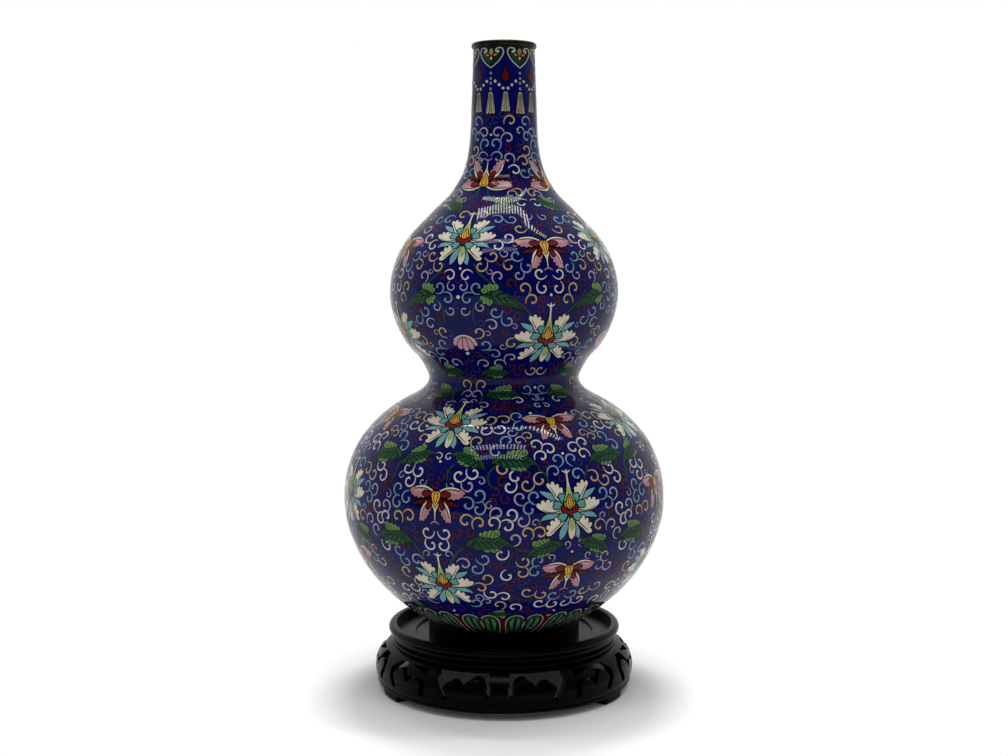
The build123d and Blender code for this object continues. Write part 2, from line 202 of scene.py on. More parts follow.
# Scrolls: hundreds of small hooks of coloured glass between two brass wires. Each one
# starts as a thin tail and curls round to a ball.
cream, lilac = display(0.69, 0.67, 0.65), display(0.56, 0.52, 0.59)
pale_blue, ochre = display(0.40, 0.51, 0.59), display(0.62, 0.53, 0.38)
brick, plum = display(0.27, 0.11, 0.14), display(0.21, 0.11, 0.23)
brass = display(0.10, 0.08, 0.08)
left, right = 1, -1
hook_steps, hook_turn, hook_wire, hook_level = 20, radians(318), 0.28, 0.06
strips_across, glass_strip = 3, 1
share = np.linspace(0, 1, hook_steps + 1)
reach = np.interp(share, (0, 0.12, 0.3, 0.6, 0.82, 1), (4.6, 3.85, 3.4, 3.05, 2.5, 1.35))
half_width = 0.5 * np.interp(
    share, (0, 0.15, 0.35, 0.8, 0.88, 0.94, 0.98, 1), (0.45, 0.8, 1.1, 1.0, 1.4, 1.8, 1.3, 0.2)
)
hook_corners, hook_strips = [], []
for strip in range(strips_across):
    for step in range(hook_steps):
        outer, inner = strip * (hook_steps + 1) + step, (strip + 1) * (hook_steps + 1) + step
        hook_corners += [outer, outer + 1, inner + 1, inner]
        hook_strips.append(strip)
hook_corners = np.array(hook_corners).reshape(-1, 4)
hook_strips = np.array(hook_strips)


def hook(colour, stout=1.0):
    """The flat hook, with its glass in one colour and its two wires in brass."""
    glass = stout * half_width
    spots = []
    for edge in (glass + hook_wire, glass, -glass, -glass - hook_wire):
        around, from_middle = hook_turn * share, reach + edge
        level = np.full(hook_steps + 1, hook_level)
        spots.append(np.stack([from_middle * np.cos(around), from_middle * np.sin(around), level], axis=1))
    paints = np.where(hook_strips[:, None] == glass_strip, (*colour, 1.0), (*brass, 0.0))
    return np.concatenate(spots), hook_corners.ravel(), np.full(len(hook_corners), 4), paints


def lay_on_vase(name, places, material):
    """Joins flat shapes, each laid on the vase's skin at its own place, into one piece."""
    spots, normals, corners, counts, paints, used = [], [], [], [], [], 0
    for shape, azimuth, rise, turn, size, flip in places:
        flat, shape_corners, shape_counts, shape_paints = shape
        x, y = flat[:, 0] * size, flat[:, 1] * flip * size
        turned_x = x * cos(radians(turn)) - y * sin(radians(turn))
        turned_y = x * sin(radians(turn)) + y * cos(radians(turn))
        heights = (rise + turned_y) * mm
        around = azimuth + np.degrees(turned_x * mm / np.interp(heights, arc, outline[:, 0]))
        low = on_skin(around, heights, 0)
        out = on_skin(around, heights, 1) - low
        spots.append(low + out * flat[:, 2:] * mm)
        normals.append(out / np.linalg.norm(out, axis=1, keepdims=True))
        if flip < 0:
            starts = np.repeat(np.cumsum(shape_counts) - shape_counts, shape_counts)
            ends = starts + np.repeat(shape_counts, shape_counts) - 1
            shape_corners = shape_corners[starts + ends - np.arange(len(shape_corners))]
        corners.append(shape_corners + used)
        counts.append(shape_counts)
        paints.append(np.repeat(shape_paints, shape_counts, axis=0))
        used += len(flat)
    spots, normals = np.concatenate(spots), np.concatenate(normals)
    corners, counts = np.concatenate(corners), np.concatenate(counts)
    mesh = bpy.data.meshes.new(name)
    mesh.vertices.add(len(spots))
    mesh.vertices.foreach_set("co", spots.ravel())
    mesh.loops.add(len(corners))
    mesh.loops.foreach_set("vertex_index", corners)
    mesh.polygons.add(len(counts))
    mesh.polygons.foreach_set("loop_start", np.cumsum(counts) - counts)
    mesh.update(calc_edges=True)
    mesh.polygons.foreach_set("use_smooth", np.ones(len(counts), dtype=bool))
    mesh.normals_split_custom_set_from_vertices(normals)
    glaze = mesh.color_attributes.new("glaze", "FLOAT_COLOR", "CORNER")
    glaze.data.foreach_set("color", np.concatenate(paints).ravel())
    mesh.materials.append(material)
    piece = bpy.data.objects.new(name, mesh)
    bpy.context.collection.objects.link(piece)
    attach(piece, "vase")
    return piece


cell_enamel = enamel("enamel cells", cloud_share=0.5)

# Each row: degrees round the vase, millimetres up its skin, the way that the tail
# points, the way that the hook curls from there, its glass, and its size.
belly_scrolls = [
    (-35.8, 131.7, 40, right, cream, 1), (-31.3, 130.3, 140, left, cream, 1),
    (-38, 127, 50, left, lilac, 0.6), (-34.1, 123.9, 45, right, cream, 1),
    (-28.7, 124, 30, right, lilac, 0.6), (-38.5, 118.6, -65, right, pale_blue, 1),
    (-34.4, 113.9, 60, left, pale_blue, 1), (-38.3, 110.6, 75, left, pale_blue, 1),
    (-42.6, 114.4, 90, right, lilac, 0.6), (-43.3, 107.5, -90, left, lilac, 1),
    (-43.3, 100.8, -103, right, cream, 1), (-37.6, 102, -48, left, ochre, 1),
    (-33, 103.3, 172, right, ochre, 1), (-25.8, 94.4, 14, right, cream, 1),
    (-19.75, 94.4, 166, left, cream, 1), (-25.1, 87, 107, left, cream, 1),
    (-20.4, 87, 73, right, cream, 1), (-27, 80.8, -145, right, lilac, 0.6),
    (-18.8, 81.4, -30, left, lilac, 0.6), (-38.7, 80.6, 0, right, pale_blue, 1),
    (-36.8, 73.6, 132, left, pale_blue, 1), (-38, 65.8, -70, right, ochre, 1),
    (-31.5, 75.8, 8, left, lilac, 1), (-13.7, 75.8, 172, right, lilac, 1),
    (-6.9, 79.2, 175, left, pale_blue, 1), (-9.3, 72.5, 45, right, pale_blue, 1),
    (-6, 65.3, -115, left, ochre, 1), (-0.7, 82.5, 37, right, cream, 1),
    (-44.5, 82.5, 140, left, cream, 1), (-15.4, 128.9, 0, right, cream, 1),
    (-10.8, 130.8, 146, left, cream, 1), (-7.7, 126.4, 135, right, lilac, 0.6),
    (-12.3, 123.3, 134, left, lilac, 1), (-18.3, 123, 150, left, lilac, 0.6),
    (-8.2, 117.8, -117, left, pale_blue, 1), (-11.8, 112.8, 135, right, pale_blue, 1),
    (-8, 110, 76, right, pale_blue, 1), (-4.75, 112.2, 60, left, lilac, 0.6),
    (-12.4, 103, 4, left, ochre, 1), (-8.3, 101.7, -127, right, ochre, 1),
    (-2.4, 107.5, -131, right, lilac, 1), (-3.3, 102, -62, left, cream, 1),
    (-0.4, 133.9, 84, left, ochre, 1), (3.9, 129.2, 35, left, cream, 1),
    (2.1, 123.1, 48, right, cream, 1), (7.8, 123.9, 16, right, ochre, 1),
    (12.1, 127.2, 62, left, ochre, 1), (5.3, 116.1, -53, right, lilac, 1),
    (10, 116.7, -67, right, pale_blue, 1), (8.2, 110, 63, left, pale_blue, 1),
    (2.4, 106.7, -113, left, cream, 1), (1.1, 100.3, 157, right, cream, 1),
    (6.2, 103, 49, right, lilac, 1), (10.3, 101.7, -30, left, lilac, 0.6),
    (7.6, 95.6, -59, left, ochre, 1), (11.75, 95.8, 185, right, ochre, 1),
    (3.5, 91.9, -121, left, lilac, 1), (21.4, 87.5, -105, left, lilac, 0.6),
    (26.5, 88.3, -80, right, lilac, 0.6), (16.2, 79.7, -80, left, lilac, 0.6),
    (29.9, 79.4, -60, right, lilac, 0.6), (11.6, 77.8, -95, right, pale_blue, 1),
    (10.8, 70.6, 53, left, pale_blue, 1), (6.6, 77.5, 175, left, ochre, 1),
    (6.5, 70, 90, right, ochre, 1), (1, 67.8, 95, left, cream, 1),
    (34.4, 78.3, -20, left, pale_blue, 0.6), (35.7, 70.8, 130, right, pale_blue, 1),
    (37.5, 77.2, -48, right, ochre, 1), (40, 69.7, 138, left, lilac, 1),
    (41.4, 91.4, -70, right, lilac, 1), (38.2, 97, -135, right, lilac, 1),
    (33.2, 97.8, 0, left, ochre, 1), (34.5, 103.3, -110, right, lilac, 0.6),
    (42.2, 106.4, -77, right, cream, 1), (44.3, 98.9, 52, left, cream, 1),
    (35, 116.7, -127, left, pale_blue, 1), (39.6, 115.8, -108, left, lilac, 1),
    (37.1, 110, 117, right, pale_blue, 1), (32.5, 127, 135, right, ochre, 1),
    (36.9, 124.4, 171, left, ochre, 1), (40.3, 130.8, 152, left, cream, 1),
    (42.7, 124.7, 120, right, cream, 1), (17.5, 131.7, -150, right, pale_blue, 1),
    (26.3, 129.2, -8, left, pale_blue, 1),
    (10, 387.3, -150, right, ochre, 1), (39.7, 387, -30, left, pale_blue, 1),
    (28, 381, -50, left, lilac, 0.8), (42, 377.5, -20, left, pale_blue, 1),
    (37.5, 369, -145, left, ochre, 1), (30, 362, 180, right, ochre, 1),
    (29, 353.8, 15, right, pale_blue, 1), (41, 354.5, -20, left, pale_blue, 0.9),
    (46, 361.5, -10, left, pale_blue, 1), (40.5, 346.5, -10, left, cream, 0.9),
    (37, 338, -160, right, lilac, 0.9), (5.7, 376.5, -160, right, lilac, 1),
    (7.7, 363.7, -50, left, lilac, 1), (15, 356, 165, right, cream, 1),
]
# The rest of the skin is read over half of a repeat, and the other half mirrors it.
mirrored_scrolls = [
    (-8.8, 58.5, 165, right, ochre, 1), (-5, 53, 150, left, cream, 1),
    (0, 51, 170, right, cream, 1), (-9.8, 50, -45, left, lilac, 0.7),
    (-11.5, 44.5, -140, left, pale_blue, 1), (-6.9, 46.2, 200, right, lilac, 0.7),
    (-1.8, 43, -75, left, ochre, 1), (4.7, 40.5, -50, left, cream, 1),
    (9, 54.2, -15, right, ochre, 1), (14.5, 52, 130, left, ochre, 1),
    (19.8, 50.2, -10, right, pale_blue, 1), (14.8, 43.5, -15, right, cream, 1),
    (20.7, 42, 120, left, cream, 1), (-16.7, 200.7, -120, right, ochre, 1),
    (-19.3, 194, -20, left, lilac, 1), (-19.2, 187.7, -30, left, lilac, 0.6),
    (-12, 183.5, 150, right, lilac, 1), (9, 188.8, 165, right, cream, 1),
    (16.2, 197.7, -150, left, pale_blue, 1), (20.3, 191, 140, right, pale_blue, 1),
    (19.8, 183, 45, left, cream, 0.7), (6.2, 172.4, -100, right, pale_blue, 1),
    (6.8, 163.5, 75, left, pale_blue, 1), (-6.3, 169, -125, left, ochre, 1),
    (0, 169.3, 170, right, ochre, 1), (-7.7, 160.2, 60, right, cream, 1),
    (-1.8, 161.3, -165, left, cream, 1), (3.3, 158.5, 10, right, lilac, 0.75),
    (-10.8, 151.8, -110, right, ochre, 1), (1, 152.4, -105, right, pale_blue, 1),
    (-3, 145.2, 45, left, pale_blue, 1), (6.3, 152.7, -20, left, ochre, 0.8),
    (9.7, 156, 180, right, ochre, 0.75), (12.5, 149.3, -60, left, cream, 1),
    (17.3, 146.3, 165, right, cream, 1), (13.7, 141.6, -150, right, cream, 1),
    (19.7, 138.8, -90, left, pale_blue, 1), (-20.6, 140.7, 40, left, cream, 0.6),
    (-17.5, 261.9, 45, left, pale_blue, 1), (-13, 268, -55, right, pale_blue, 1),
    (-11.3, 256.6, 120, left, lilac, 0.8), (-18.8, 254.1, 10, right, lilac, 0.8),
    (-3.8, 253.5, 20, right, pale_blue, 1), (1.7, 248.2, 140, left, pale_blue, 1),
    (-6, 245.7, 150, right, lilac, 1), (5.2, 244.6, 140, right, lilac, 0.5),
    (-12.7, 240.3, -120, left, ochre, 1), (-8.2, 239.8, 180, right, ochre, 0.55),
    (-10, 231.6, -130, left, pale_blue, 1), (-5.3, 225, 145, right, pale_blue, 1),
    (4, 233.2, 50, left, ochre, 1), (-0.5, 230.7, 10, right, lilac, 0.6),
    (3.8, 221.6, -140, right, lilac, 1), (-3, 216.6, -20, left, lilac, 1),
    (-13, 216.2, -155, right, lilac, 1), (18.8, 210.5, 165, left, ochre, 1),
    (13.2, 261, -150, right, ochre, 1), (9.8, 267.8, -60, left, ochre, 1),
    (18.2, 268, 110, left, cream, 1), (-4.3, 315.7, 150, right, pale_blue, 1),
    (4.7, 315.5, 175, left, pale_blue, 1), (9.8, 307.5, 5, right, ochre, 1),
    (2.3, 300.3, -130, left, cream, 1), (-3.3, 295, 120, right, cream, 1),
    (5.5, 295.5, 150, right, lilac, 0.5), (-6, 287.5, -170, left, ochre, 1),
    (0.2, 289.4, 150, left, lilac, 0.7), (6.3, 287.8, -20, right, pale_blue, 1),
    (-11, 281.2, 40, right, ochre, 1), (2.3, 281.9, 50, left, ochre, 1),
    (11, 280.5, 130, left, pale_blue, 1), (-6.8, 278, 150, left, lilac, 0.5),
    (-3, 274.8, -105, right, lilac, 1), (7.2, 275.7, 30, right, lilac, 0.8),
    (17.5, 276.6, -15, right, cream, 1), (-18.3, 275.7, 20, left, cream, 1),
    (-19.5, 268.9, 75, right, lilac, 0.8), (-15, 319.5, 190, right, ochre, 1),
    (16.7, 318, 40, right, lilac, 0.8), (-10, 379.9, -20, left, lilac, 1),
    (-13.3, 372.8, -70, left, pale_blue, 1), (-10.3, 364.6, 175, right, pale_blue, 1),
    (14.3, 339.2, 160, right, ochre, 1),
    (15.7, 330.3, 30, left, cream, 1), (-4.7, 332.8, -30, left, cream, 0.7),
]
# Dark red and plum scrolls fill the ground between the bright ones.
dark_scrolls = [
    (-0.5, 126, 40, left, brick, 0.8), (-3, 120, 160, right, plum, 0.8),
    (-4, 114, -60, left, brick, 0.7), (-29.7, 91.7, 20, right, brick, 0.9),
    (-15.2, 96, 150, left, brick, 0.8), (-16, 90.5, -40, right, plum, 0.8),
    (-10.7, 95.5, 80, left, brick, 0.7), (-43.5, 119.5, 0, left, brick, 0.9),
    (-35.4, 84, 120, right, brick, 0.8), (-3.8, 74, -120, left, brick, 0.8),
    (0, 76.5, 30, right, plum, 0.8), (7.4, 130, 200, right, brick, 0.8),
    (0.5, 116, 100, left, plum, 0.8), (38.3, 104.4, -30, right, brick, 0.8),
    (37, 132.2, 60, left, brick, 0.8), (43.3, 116, 150, right, plum, 0.8),
    (15.2, 66.7, -80, left, brick, 0.8), (-7, 39, 30, left, plum, 0.8),
    (0, 59.5, 200, right, brick, 0.8), (3, 58, 40, left, brick, 0.7),
    (12, 35, 100, left, plum, 0.8), (4.2, 48, -60, right, brick, 0.8),
    (-19, 37, 140, right, plum, 0.8), (38, 37, 60, left, brick, 0.8),
    (-3, 182, 50, left, brick, 1), (0.5, 179, 210, left, plum, 1),
    (2, 185, -40, right, brick, 1), (-6.5, 189, 120, right, brick, 0.8),
    (0.3, 186.5, 10, left, plum, 0.7), (-6, 178, -100, left, brick, 0.8),
    (1.7, 178, 60, right, brick, 0.8), (9.3, 179.3, 160, left, plum, 0.8),
    (-5.5, 152.7, 30, right, plum, 0.8), (9.3, 147, -60, left, brick, 0.8),
    (38, 182, 100, right, brick, 0.8), (44, 178, -20, left, plum, 0.8),
    (6.7, 250.7, 30, left, brick, 0.8), (1.3, 254.8, 160, right, brick, 0.8),
    (-4.7, 236.2, -50, left, plum, 0.8), (-11, 223, 90, right, plum, 0.8),
    (17.3, 255.7, 200, left, plum, 0.8), (0.3, 241, 60, right, brick, 0.7),
    (0, 308, 20, left, plum, 0.9), (3, 310, 190, left, plum, 0.8),
    (-2, 284, 120, right, brick, 0.8), (3.3, 270.7, -40, left, brick, 0.8),
    (13, 314, 80, right, brick, 0.8), (0, 206, 30, right, brick, 0.8),
    (14, 205, 150, left, plum, 0.8), (-11, 205, -30, left, brick, 0.8),
    (-6, 336, 90, left, plum, 0.8), (8, 345, 10, right, brick, 0.8),
]
# A place and its mirror add up to a sum, which differs at the foot and on the neck.
quarter, quarters = 90, 4
belly_low, belly_high, neck_low, neck_read = 62, 138, 343, 3
pinch_low, pinch_middle, pinch_high, pinch_size, upper_size = 175, 202, 212, 0.86, 0.92
mirror_sum, foot_mirror_sum, neck_mirror_sum, dark_stout = 44.8, 47.4, -46, 1.4
lower_scrolls, upper_scrolls, deep_scrolls = [], [], []
for azimuth, rise, tail, curl, colour, size in belly_scrolls + mirrored_scrolls + dark_scrolls:
    group, stout = (lower_scrolls if rise < pinch_middle else upper_scrolls), 1.0
    if colour in (brick, plum):
        group, stout = deep_scrolls, dark_stout
    fit = size
    if pinch_low < rise < pinch_high:
        fit = size * pinch_size
    elif rise > pinch_high:
        fit = size * upper_size
    middle_sum = mirror_sum
    if rise < belly_low:
        middle_sum = foot_mirror_sum
    elif rise > neck_low:
        middle_sum = neck_mirror_sum
    read_whole = belly_low < rise < belly_high or (rise > neck_low and azimuth > neck_read)
    for turn in range(quarters):
        spot = azimuth + turn * quarter
        group.append((hook(colour, stout), spot, rise, tail, fit, curl))
        if not read_whole:
            mirror = middle_sum - azimuth + turn * quarter
            group.append((hook(colour, stout), mirror, rise, 180 - tail, fit, -curl))
for name, places in (
    ("lower_scrolls", lower_scrolls),
    ("upper_scrolls", upper_scrolls),
    ("deep_scrolls", deep_scrolls),
):
    lay_on_vase(name, places, cell_enamel)

# Flowers and leaves: cells of opaque glass, each shut in by its own wire. A flower is
# drawn flat once, in millimetres from its middle, and laid on the vase many times.
flower_paints = [(*brass, 0.0)]


def melt(red, green, blue):
    """Adds a colour of glass to the flowers' paints, and gives its number."""
    flower_paints.append((*display(red, green, blue), 1.0))
    return len(flower_paints) - 1


wire = 0
white, pearl, sky = melt(0.73, 0.71, 0.64), melt(0.60, 0.60, 0.57), melt(0.37, 0.55, 0.59)
turquoise, teal, slate = melt(0.31, 0.52, 0.51), melt(0.05, 0.14, 0.18), melt(0.34, 0.41, 0.46)
gold, amber, straw = melt(0.74, 0.58, 0.24), melt(0.40, 0.24, 0.08), melt(0.50, 0.40, 0.25)
wine, rust, mauve = melt(0.37, 0.11, 0.12), melt(0.27, 0.08, 0.10), melt(0.46, 0.40, 0.48)
rose, blush = melt(0.60, 0.42, 0.46), melt(0.66, 0.51, 0.54)
lime, reed, sage = melt(0.52, 0.58, 0.36), melt(0.50, 0.53, 0.40), melt(0.30, 0.42, 0.29)
light_green, moss = melt(0.35, 0.47, 0.28), melt(0.19, 0.33, 0.21)
leaf_green, vein_green = melt(0.11, 0.23, 0.16), melt(0.05, 0.12, 0.09)
bottle = melt(0.09, 0.14, 0.12)
cell_grid, cell_base, cell_layer = 2.2, 0.05, 0.035


def smooth_line(points, closed=False, steps=4):
    """A smooth line through points; a point with a third value is a sharp corner."""
    spots = np.array([point[:2] for point in points], dtype=float)
    heading = np.roll(spots, -1, axis=0) - np.roll(spots, 1, axis=0)
    if not closed:
        heading[0], heading[-1] = spots[1] - spots[0], spots[-1] - spots[-2]
    heading /= np.maximum(np.linalg.norm(heading, axis=1, keepdims=True), 1e-6)
    heading[[len(point) > 2 for point in points]] = 0
    t = (np.arange(steps) / steps)[:, None]
    runs = []
    for first in range(len(spots) if closed else len(spots) - 1):
        second = (first + 1) % len(spots)
        length = np.linalg.norm(spots[second] - spots[first])
        runs.append(
            (2 * t**3 - 3 * t**2 + 1) * spots[first]
            + (t**3 - 2 * t**2 + t) * length * heading[first]
            + (3 * t**2 - 2 * t**3) * spots[second]
            + (t**3 - t**2) * length * heading[second]
        )
    if not closed:
        runs.append(spots[-1:])
    return np.concatenate(runs)


def draw_line(motif, points, paint, layer, widths, closed=False, steps=4):
    """A ribbon along a smooth line, as wide as the widths given from its start to its end."""
    path = smooth_line(points, closed, steps)
    ahead = np.roll(path, -1, axis=0) - np.roll(path, 1, axis=0)
    if not closed:
        ahead[0], ahead[-1] = path[1] - path[0], path[-1] - path[-2]
    ahead /= np.maximum(np.linalg.norm(ahead, axis=1, keepdims=True), 1e-6)
    side = np.stack([-ahead[:, 1], ahead[:, 0]], axis=1)
    share = np.linspace(0, 1, len(path))
    half = 0.5 * np.interp(share, np.linspace(0, 1, len(widths)), widths)[:, None]
    level = cell_base + cell_layer * layer
    edges = [
        [motif.verts.new((x, y, level)) for x, y in path + side * half * way] for way in (-1, 1)
    ]
    kind = motif.faces.layers.int["paint"]
    for step in range(len(path) if closed else len(path) - 1):
        after = (step + 1) % len(path)
        face = motif.faces.new((edges[0][step], edges[0][after], edges[1][after], edges[1][step]))
        face[kind] = paint


def draw_cell(motif, points, paint, layer=1, wire_width=0.6, steps=4):
    """A filled cell of glass with its wire round it."""
    path = smooth_line(points, True, steps)
    level = cell_base + cell_layer * layer
    corners = [motif.verts.new((x, y, level)) for x, y in path]
    kind = motif.faces.layers.int["paint"]
    for triangle in tessellate_polygon([[Vector((x, y, 0)) for x, y in path]]):
        face = motif.faces.new([corners[index] for index in triangle])
        face.normal_update()
        if face.normal.z < 0:
            face.normal_flip()
        face[kind] = paint
    if wire_width:
        draw_line(motif, points, wire, layer + 0.5, [wire_width], True, steps)


def new_motif():
    """An empty flat drawing whose faces carry the number of their glass."""
    motif = bmesh.new()
    motif.faces.layers.int.new("paint")
    return motif


def finish_motif(motif):
    """Cuts a flat drawing into small faces, so that it bends with the vase."""
    for axis in range(2):
        low = min(spot.co[axis] for spot in motif.verts)
        high = max(spot.co[axis] for spot in motif.verts)
        for cut in np.arange(low + cell_grid / 2, high, cell_grid):
            place, direction = [0, 0, 0], [0, 0, 0]
            place[axis], direction[axis] = cut, 1
            bmesh.ops.bisect_plane(
                motif,
                geom=motif.verts[:] + motif.edges[:] + motif.faces[:],
                plane_co=place,
                plane_no=direction,
            )
    motif.verts.index_update()
    kind = motif.faces.layers.int["paint"]
    spots = np.array([spot.co[:] for spot in motif.verts])
    corners = np.array([corner.vert.index for face in motif.faces for corner in face.loops])
    counts = np.array([len(face.verts) for face in motif.faces])
    paints = np.array([flower_paints[face[kind]] for face in motif.faces])
    motif.free()
    return spots, corners, counts, paints


def on_side(side, points):
    """Points on the right of a drawing's middle, or on its left where the side is -1."""
    return [(x * side, y, *corner) for x, y, *corner in points]


def both_sides(points):
    """The same points on the right and on the left of a drawing's middle."""
    return [on_side(side, points) for side in (1, -1)]


def draw_both(draw, motif, points, *style):
    """The same cell or line on the right and on the left of a drawing's middle."""
    for mirrored in both_sides(points):
        draw(motif, mirrored, *style)


def whole(half):
    """A closed outline that is alike on both sides, from its first half."""
    return half + [(-x, y, *corner) for x, y, *corner in reversed(half) if x]


# White lotus: six scalloped petals with turquoise pads, pale blue sepals between them, a
# plain petal below, a gold bud in a dark red cup, and a pale spire that ends in a cross.
lotus = new_motif()
pad_size = 0.94
for sepal in (
    [(3, 1.6), (7.6, 5.6), (11.6, 8.2), (15, 9.2), (18.8, 9.8, 1), (16.4, 6.7), (13.2, 4.4), (8, 1.2)],
    [(4, -2.6), (9, -3.2), (13, -3.9), (16.6, -5.4), (19, -8.9, 1), (14.8, -7.9), (10, -7.3), (3.6, -5.2)],
    [(0.4, -6), (3, -9), (5.2, -12), (6.9, -16), (6.3, -20.8, 1), (3.6, -18.8), (1.6, -15)],
):
    draw_both(draw_cell, lotus, sepal, sky, 0)
draw_cell(lotus, [(2.6, -8.6), (3.8, -14), (3.2, -18.2), (1.3, -20.4), (-0.6, -18.2), (-1.2, -14),
                  (-0.4, -8.6)], white, 1)
draw_cell(lotus, [(0, -7.5), (2.4, -8.6), (3, -12.6), (1.4, -15), (-0.4, -12.6)], lime, 2, 0)
for petal in (
    [(4.4, 1.4), (8.4, 3.8), (10.4, 7.2), (12, 9.6), (13.6, 12), (12.8, 14.2), (11, 13.2, 1),
     (10.2, 14.8), (8.5, 14.3), (8, 12.6, 1), (6.8, 13.5), (5.5, 12.5), (5.6, 10.8, 1),
     (4.3, 11.2), (3.3, 9.8), (3.7, 8.2, 1), (2.4, 7.6), (1.6, 3)],
    [(3, -3), (8, -4.2), (12.6, -4.1), (17, -2.7), (20, -0.7), (20.8, 1.1), (19.4, 2.6),
     (18, 1.7, 1), (17.6, 3.7), (15.8, 4), (15, 2.6, 1), (14.1, 4.2), (12.4, 4.1),
     (11.8, 2.6, 1), (10.8, 3.6), (8.8, 2.9), (4.6, 2)],
    [(1.2, -6.4), (4.8, -11), (8.6, -14.4), (11.4, -17.2), (14.2, -17.5), (15.1, -15.6),
     (13.5, -14.2, 1), (15.1, -12.6), (14.1, -10.6), (12.3, -11.2, 1), (12.7, -9),
     (11, -7.8), (9.9, -8.9, 1), (9.8, -6.8), (8, -6), (7, -7.2, 1), (6.4, -5), (2.4, -3)],
):
    draw_both(draw_cell, lotus, petal, white, 1)
for band in (
    [(3.2, 1.2), (6.6, 4.0), (9.2, 7.6), (11.4, 11.4)],
    [(3.4, -1.8), (8.4, -3.3), (12.8, -3.4), (17.2, -1.6)],
    [(2.8, -6.4), (6.2, -10.4), (9.4, -13.4), (12.2, -15.8)],
):
    draw_both(draw_line, lotus, band, wire, 2.5, [0.65, 0.6, 0.3])
for pad in (
    [(2.8, 2.2), (5.4, 2), (6.6, 4), (7.3, 6.2), (6, 8), (4.6, 7.2, 1), (3.6, 8), (2.4, 5.6)],
    [(4.6, -0.8), (7.8, -2), (10.6, -1.5), (11.3, 0.2), (10.4, 1, 1), (10.6, 2.6), (8, 3.2), (5, 1.8)],
    [(1.8, -4.6), (4.4, -3.8), (7.6, -5.6), (8.2, -7.8), (6.8, -8.2, 1), (6.4, -9.8), (4.2, -9.6),
     (2.2, -7.4)],
):
    smaller = [(pad_size * x, pad_size * y, *corner) for x, y, *corner in pad]
    draw_both(draw_cell, lotus, smaller, turquoise, 3)
draw_cell(lotus, whole([(-3.6, 1.4), (-2.6, 5.5), (-1.2, 12), (-0.5, 17, 1)]), lime, 4)
draw_line(lotus, [(0, 11), (0, 18), (0, 21.6)], white, 5.5, [1.0, 1.0, 0.7])
draw_line(lotus, [(-2.6, 20.9), (0, 19.6), (2.6, 20.9)], white, 5.5, [0.4, 1.1, 0.4])
draw_cell(
    lotus,
    [(-5.6, -0.4), (-4.2, 0.3), (-2.8, -0.6), (0, -1.4), (2.8, -0.6), (4.2, 0.3), (5.6, -0.4),
     (4.8, -4), (2.1, -4.6), (0.3, -7.4, 1), (-1.5, -4.6), (-4.6, -4)],
    wine,
    5,
)
draw_both(draw_cell, lotus, [(2, 2.6), (3.6, 1.8), (3.2, -0.2), (0.4, -2)], gold, 6)
draw_cell(lotus, whole([(0, 7, 1), (1.7, 4), (2.3, 1), (0, -2.2)]), gold, 7.5)
draw_both(draw_line, lotus, [(0, 5.6), (0.9, 2.6), (0.1, -1.6)], amber, 9, [0.3, 0.6, 0.3])
lotus = finish_motif(lotus)

# Pink butterfly flower: four rose wings with a white upper edge and a maroon pad, dark
# red sepals behind them, a gold bud, and a white spike that points down.
butterfly = new_motif()
draw_both(
    draw_cell, butterfly, [(3, -1.4), (8, -2), (12.4, -3), (16.8, -5.8, 1), (11.6, -5.6), (6, -5)], rust, 0
)
for wing, edge, inner in (
    (
        [(2, 3.8), (6, 5.6), (11, 5.9), (15.5, 5), (18, 3.7), (18.4, 2.1), (17.1, 1.4, 1), (17.2, 0.2),
         (15.6, -0.1, 1), (14.8, -1.3), (13, -0.9, 1), (11.5, -1.9), (10, -0.9, 1), (8.4, -1.5),
         (6.8, -0.8, 1), (5, -1.2), (2.4, 0.6)],
        [(2.4, 3.4), (6.4, 5.2), (10.8, 5.5), (14.6, 4.8)],
        [(3, 2.6), (6.6, 4.3), (10.8, 4.6), (15, 3.8)],
    ),
    (
        [(2.2, -1.6), (5.8, -3.2), (8.6, -6.6), (10, -10.6), (10.8, -14), (10, -15.6), (8.4, -14.9, 1),
         (7.5, -15.7), (6.5, -13.7, 1), (5.3, -13.7), (5.1, -11.7, 1), (3.8, -11.3), (3.8, -9.2, 1),
         (2.7, -8.6), (2, -5)],
        [(2.9, -2.1), (6.2, -4.1), (8.6, -7.6), (9.9, -11.8)],
        [(2.8, -3), (5.6, -4.9), (7.7, -8), (9.1, -12.6)],
    ),
):
    draw_both(draw_cell, butterfly, wing, rose, 1)
    draw_both(draw_line, butterfly, edge, white, 2.5, [0.7, 1.1, 0.5])
    for points in both_sides(inner):
        draw_line(butterfly, points, wire, 3, [0.5, 0.5, 0.3])
        draw_line(butterfly, [(x - 0.2, y - 1.4) for x, y in points], blush, 1.8, [0.6, 1.6, 1.4])
for pad in (
    [(2.6, 0.8), (4, 2.9), (6.2, 3.3), (8.4, 2.9), (9.4, 1.4), (8.2, -0.2), (5.4, -0.7)],
    [(2.4, -1.6), (4.6, -2.6), (6, -5), (5.9, -7.2), (4.4, -7.8), (3, -6.2), (2.3, -4)],
):
    draw_both(draw_cell, butterfly, pad, wine, 3)
draw_cell(butterfly, whole([(-2.4, -3.4), (-0.8, -9), (-0.4, -14.6)]), white, 3)
draw_line(butterfly, [(-2.8, -16.4), (0, -14.8), (2.8, -16.4)], rose, 4, [0.4, 1.0, 0.4])
draw_cell(
    butterfly, whole([(0, 3.2), (2.2, 2.9), (3, 0.8), (2.4, -2), (1.2, -4.8), (0, -6.6, 1)]), gold, 5, 0.5
)
for crease in ([(0, 2.8), (1.3, 0.2), (0.7, -2.6), (0, -4.4)], [(1.6, 2.4), (1.1, 1.2)]):
    draw_both(draw_line, butterfly, crease, amber, 6.5, [0.4, 0.6, 0.3])
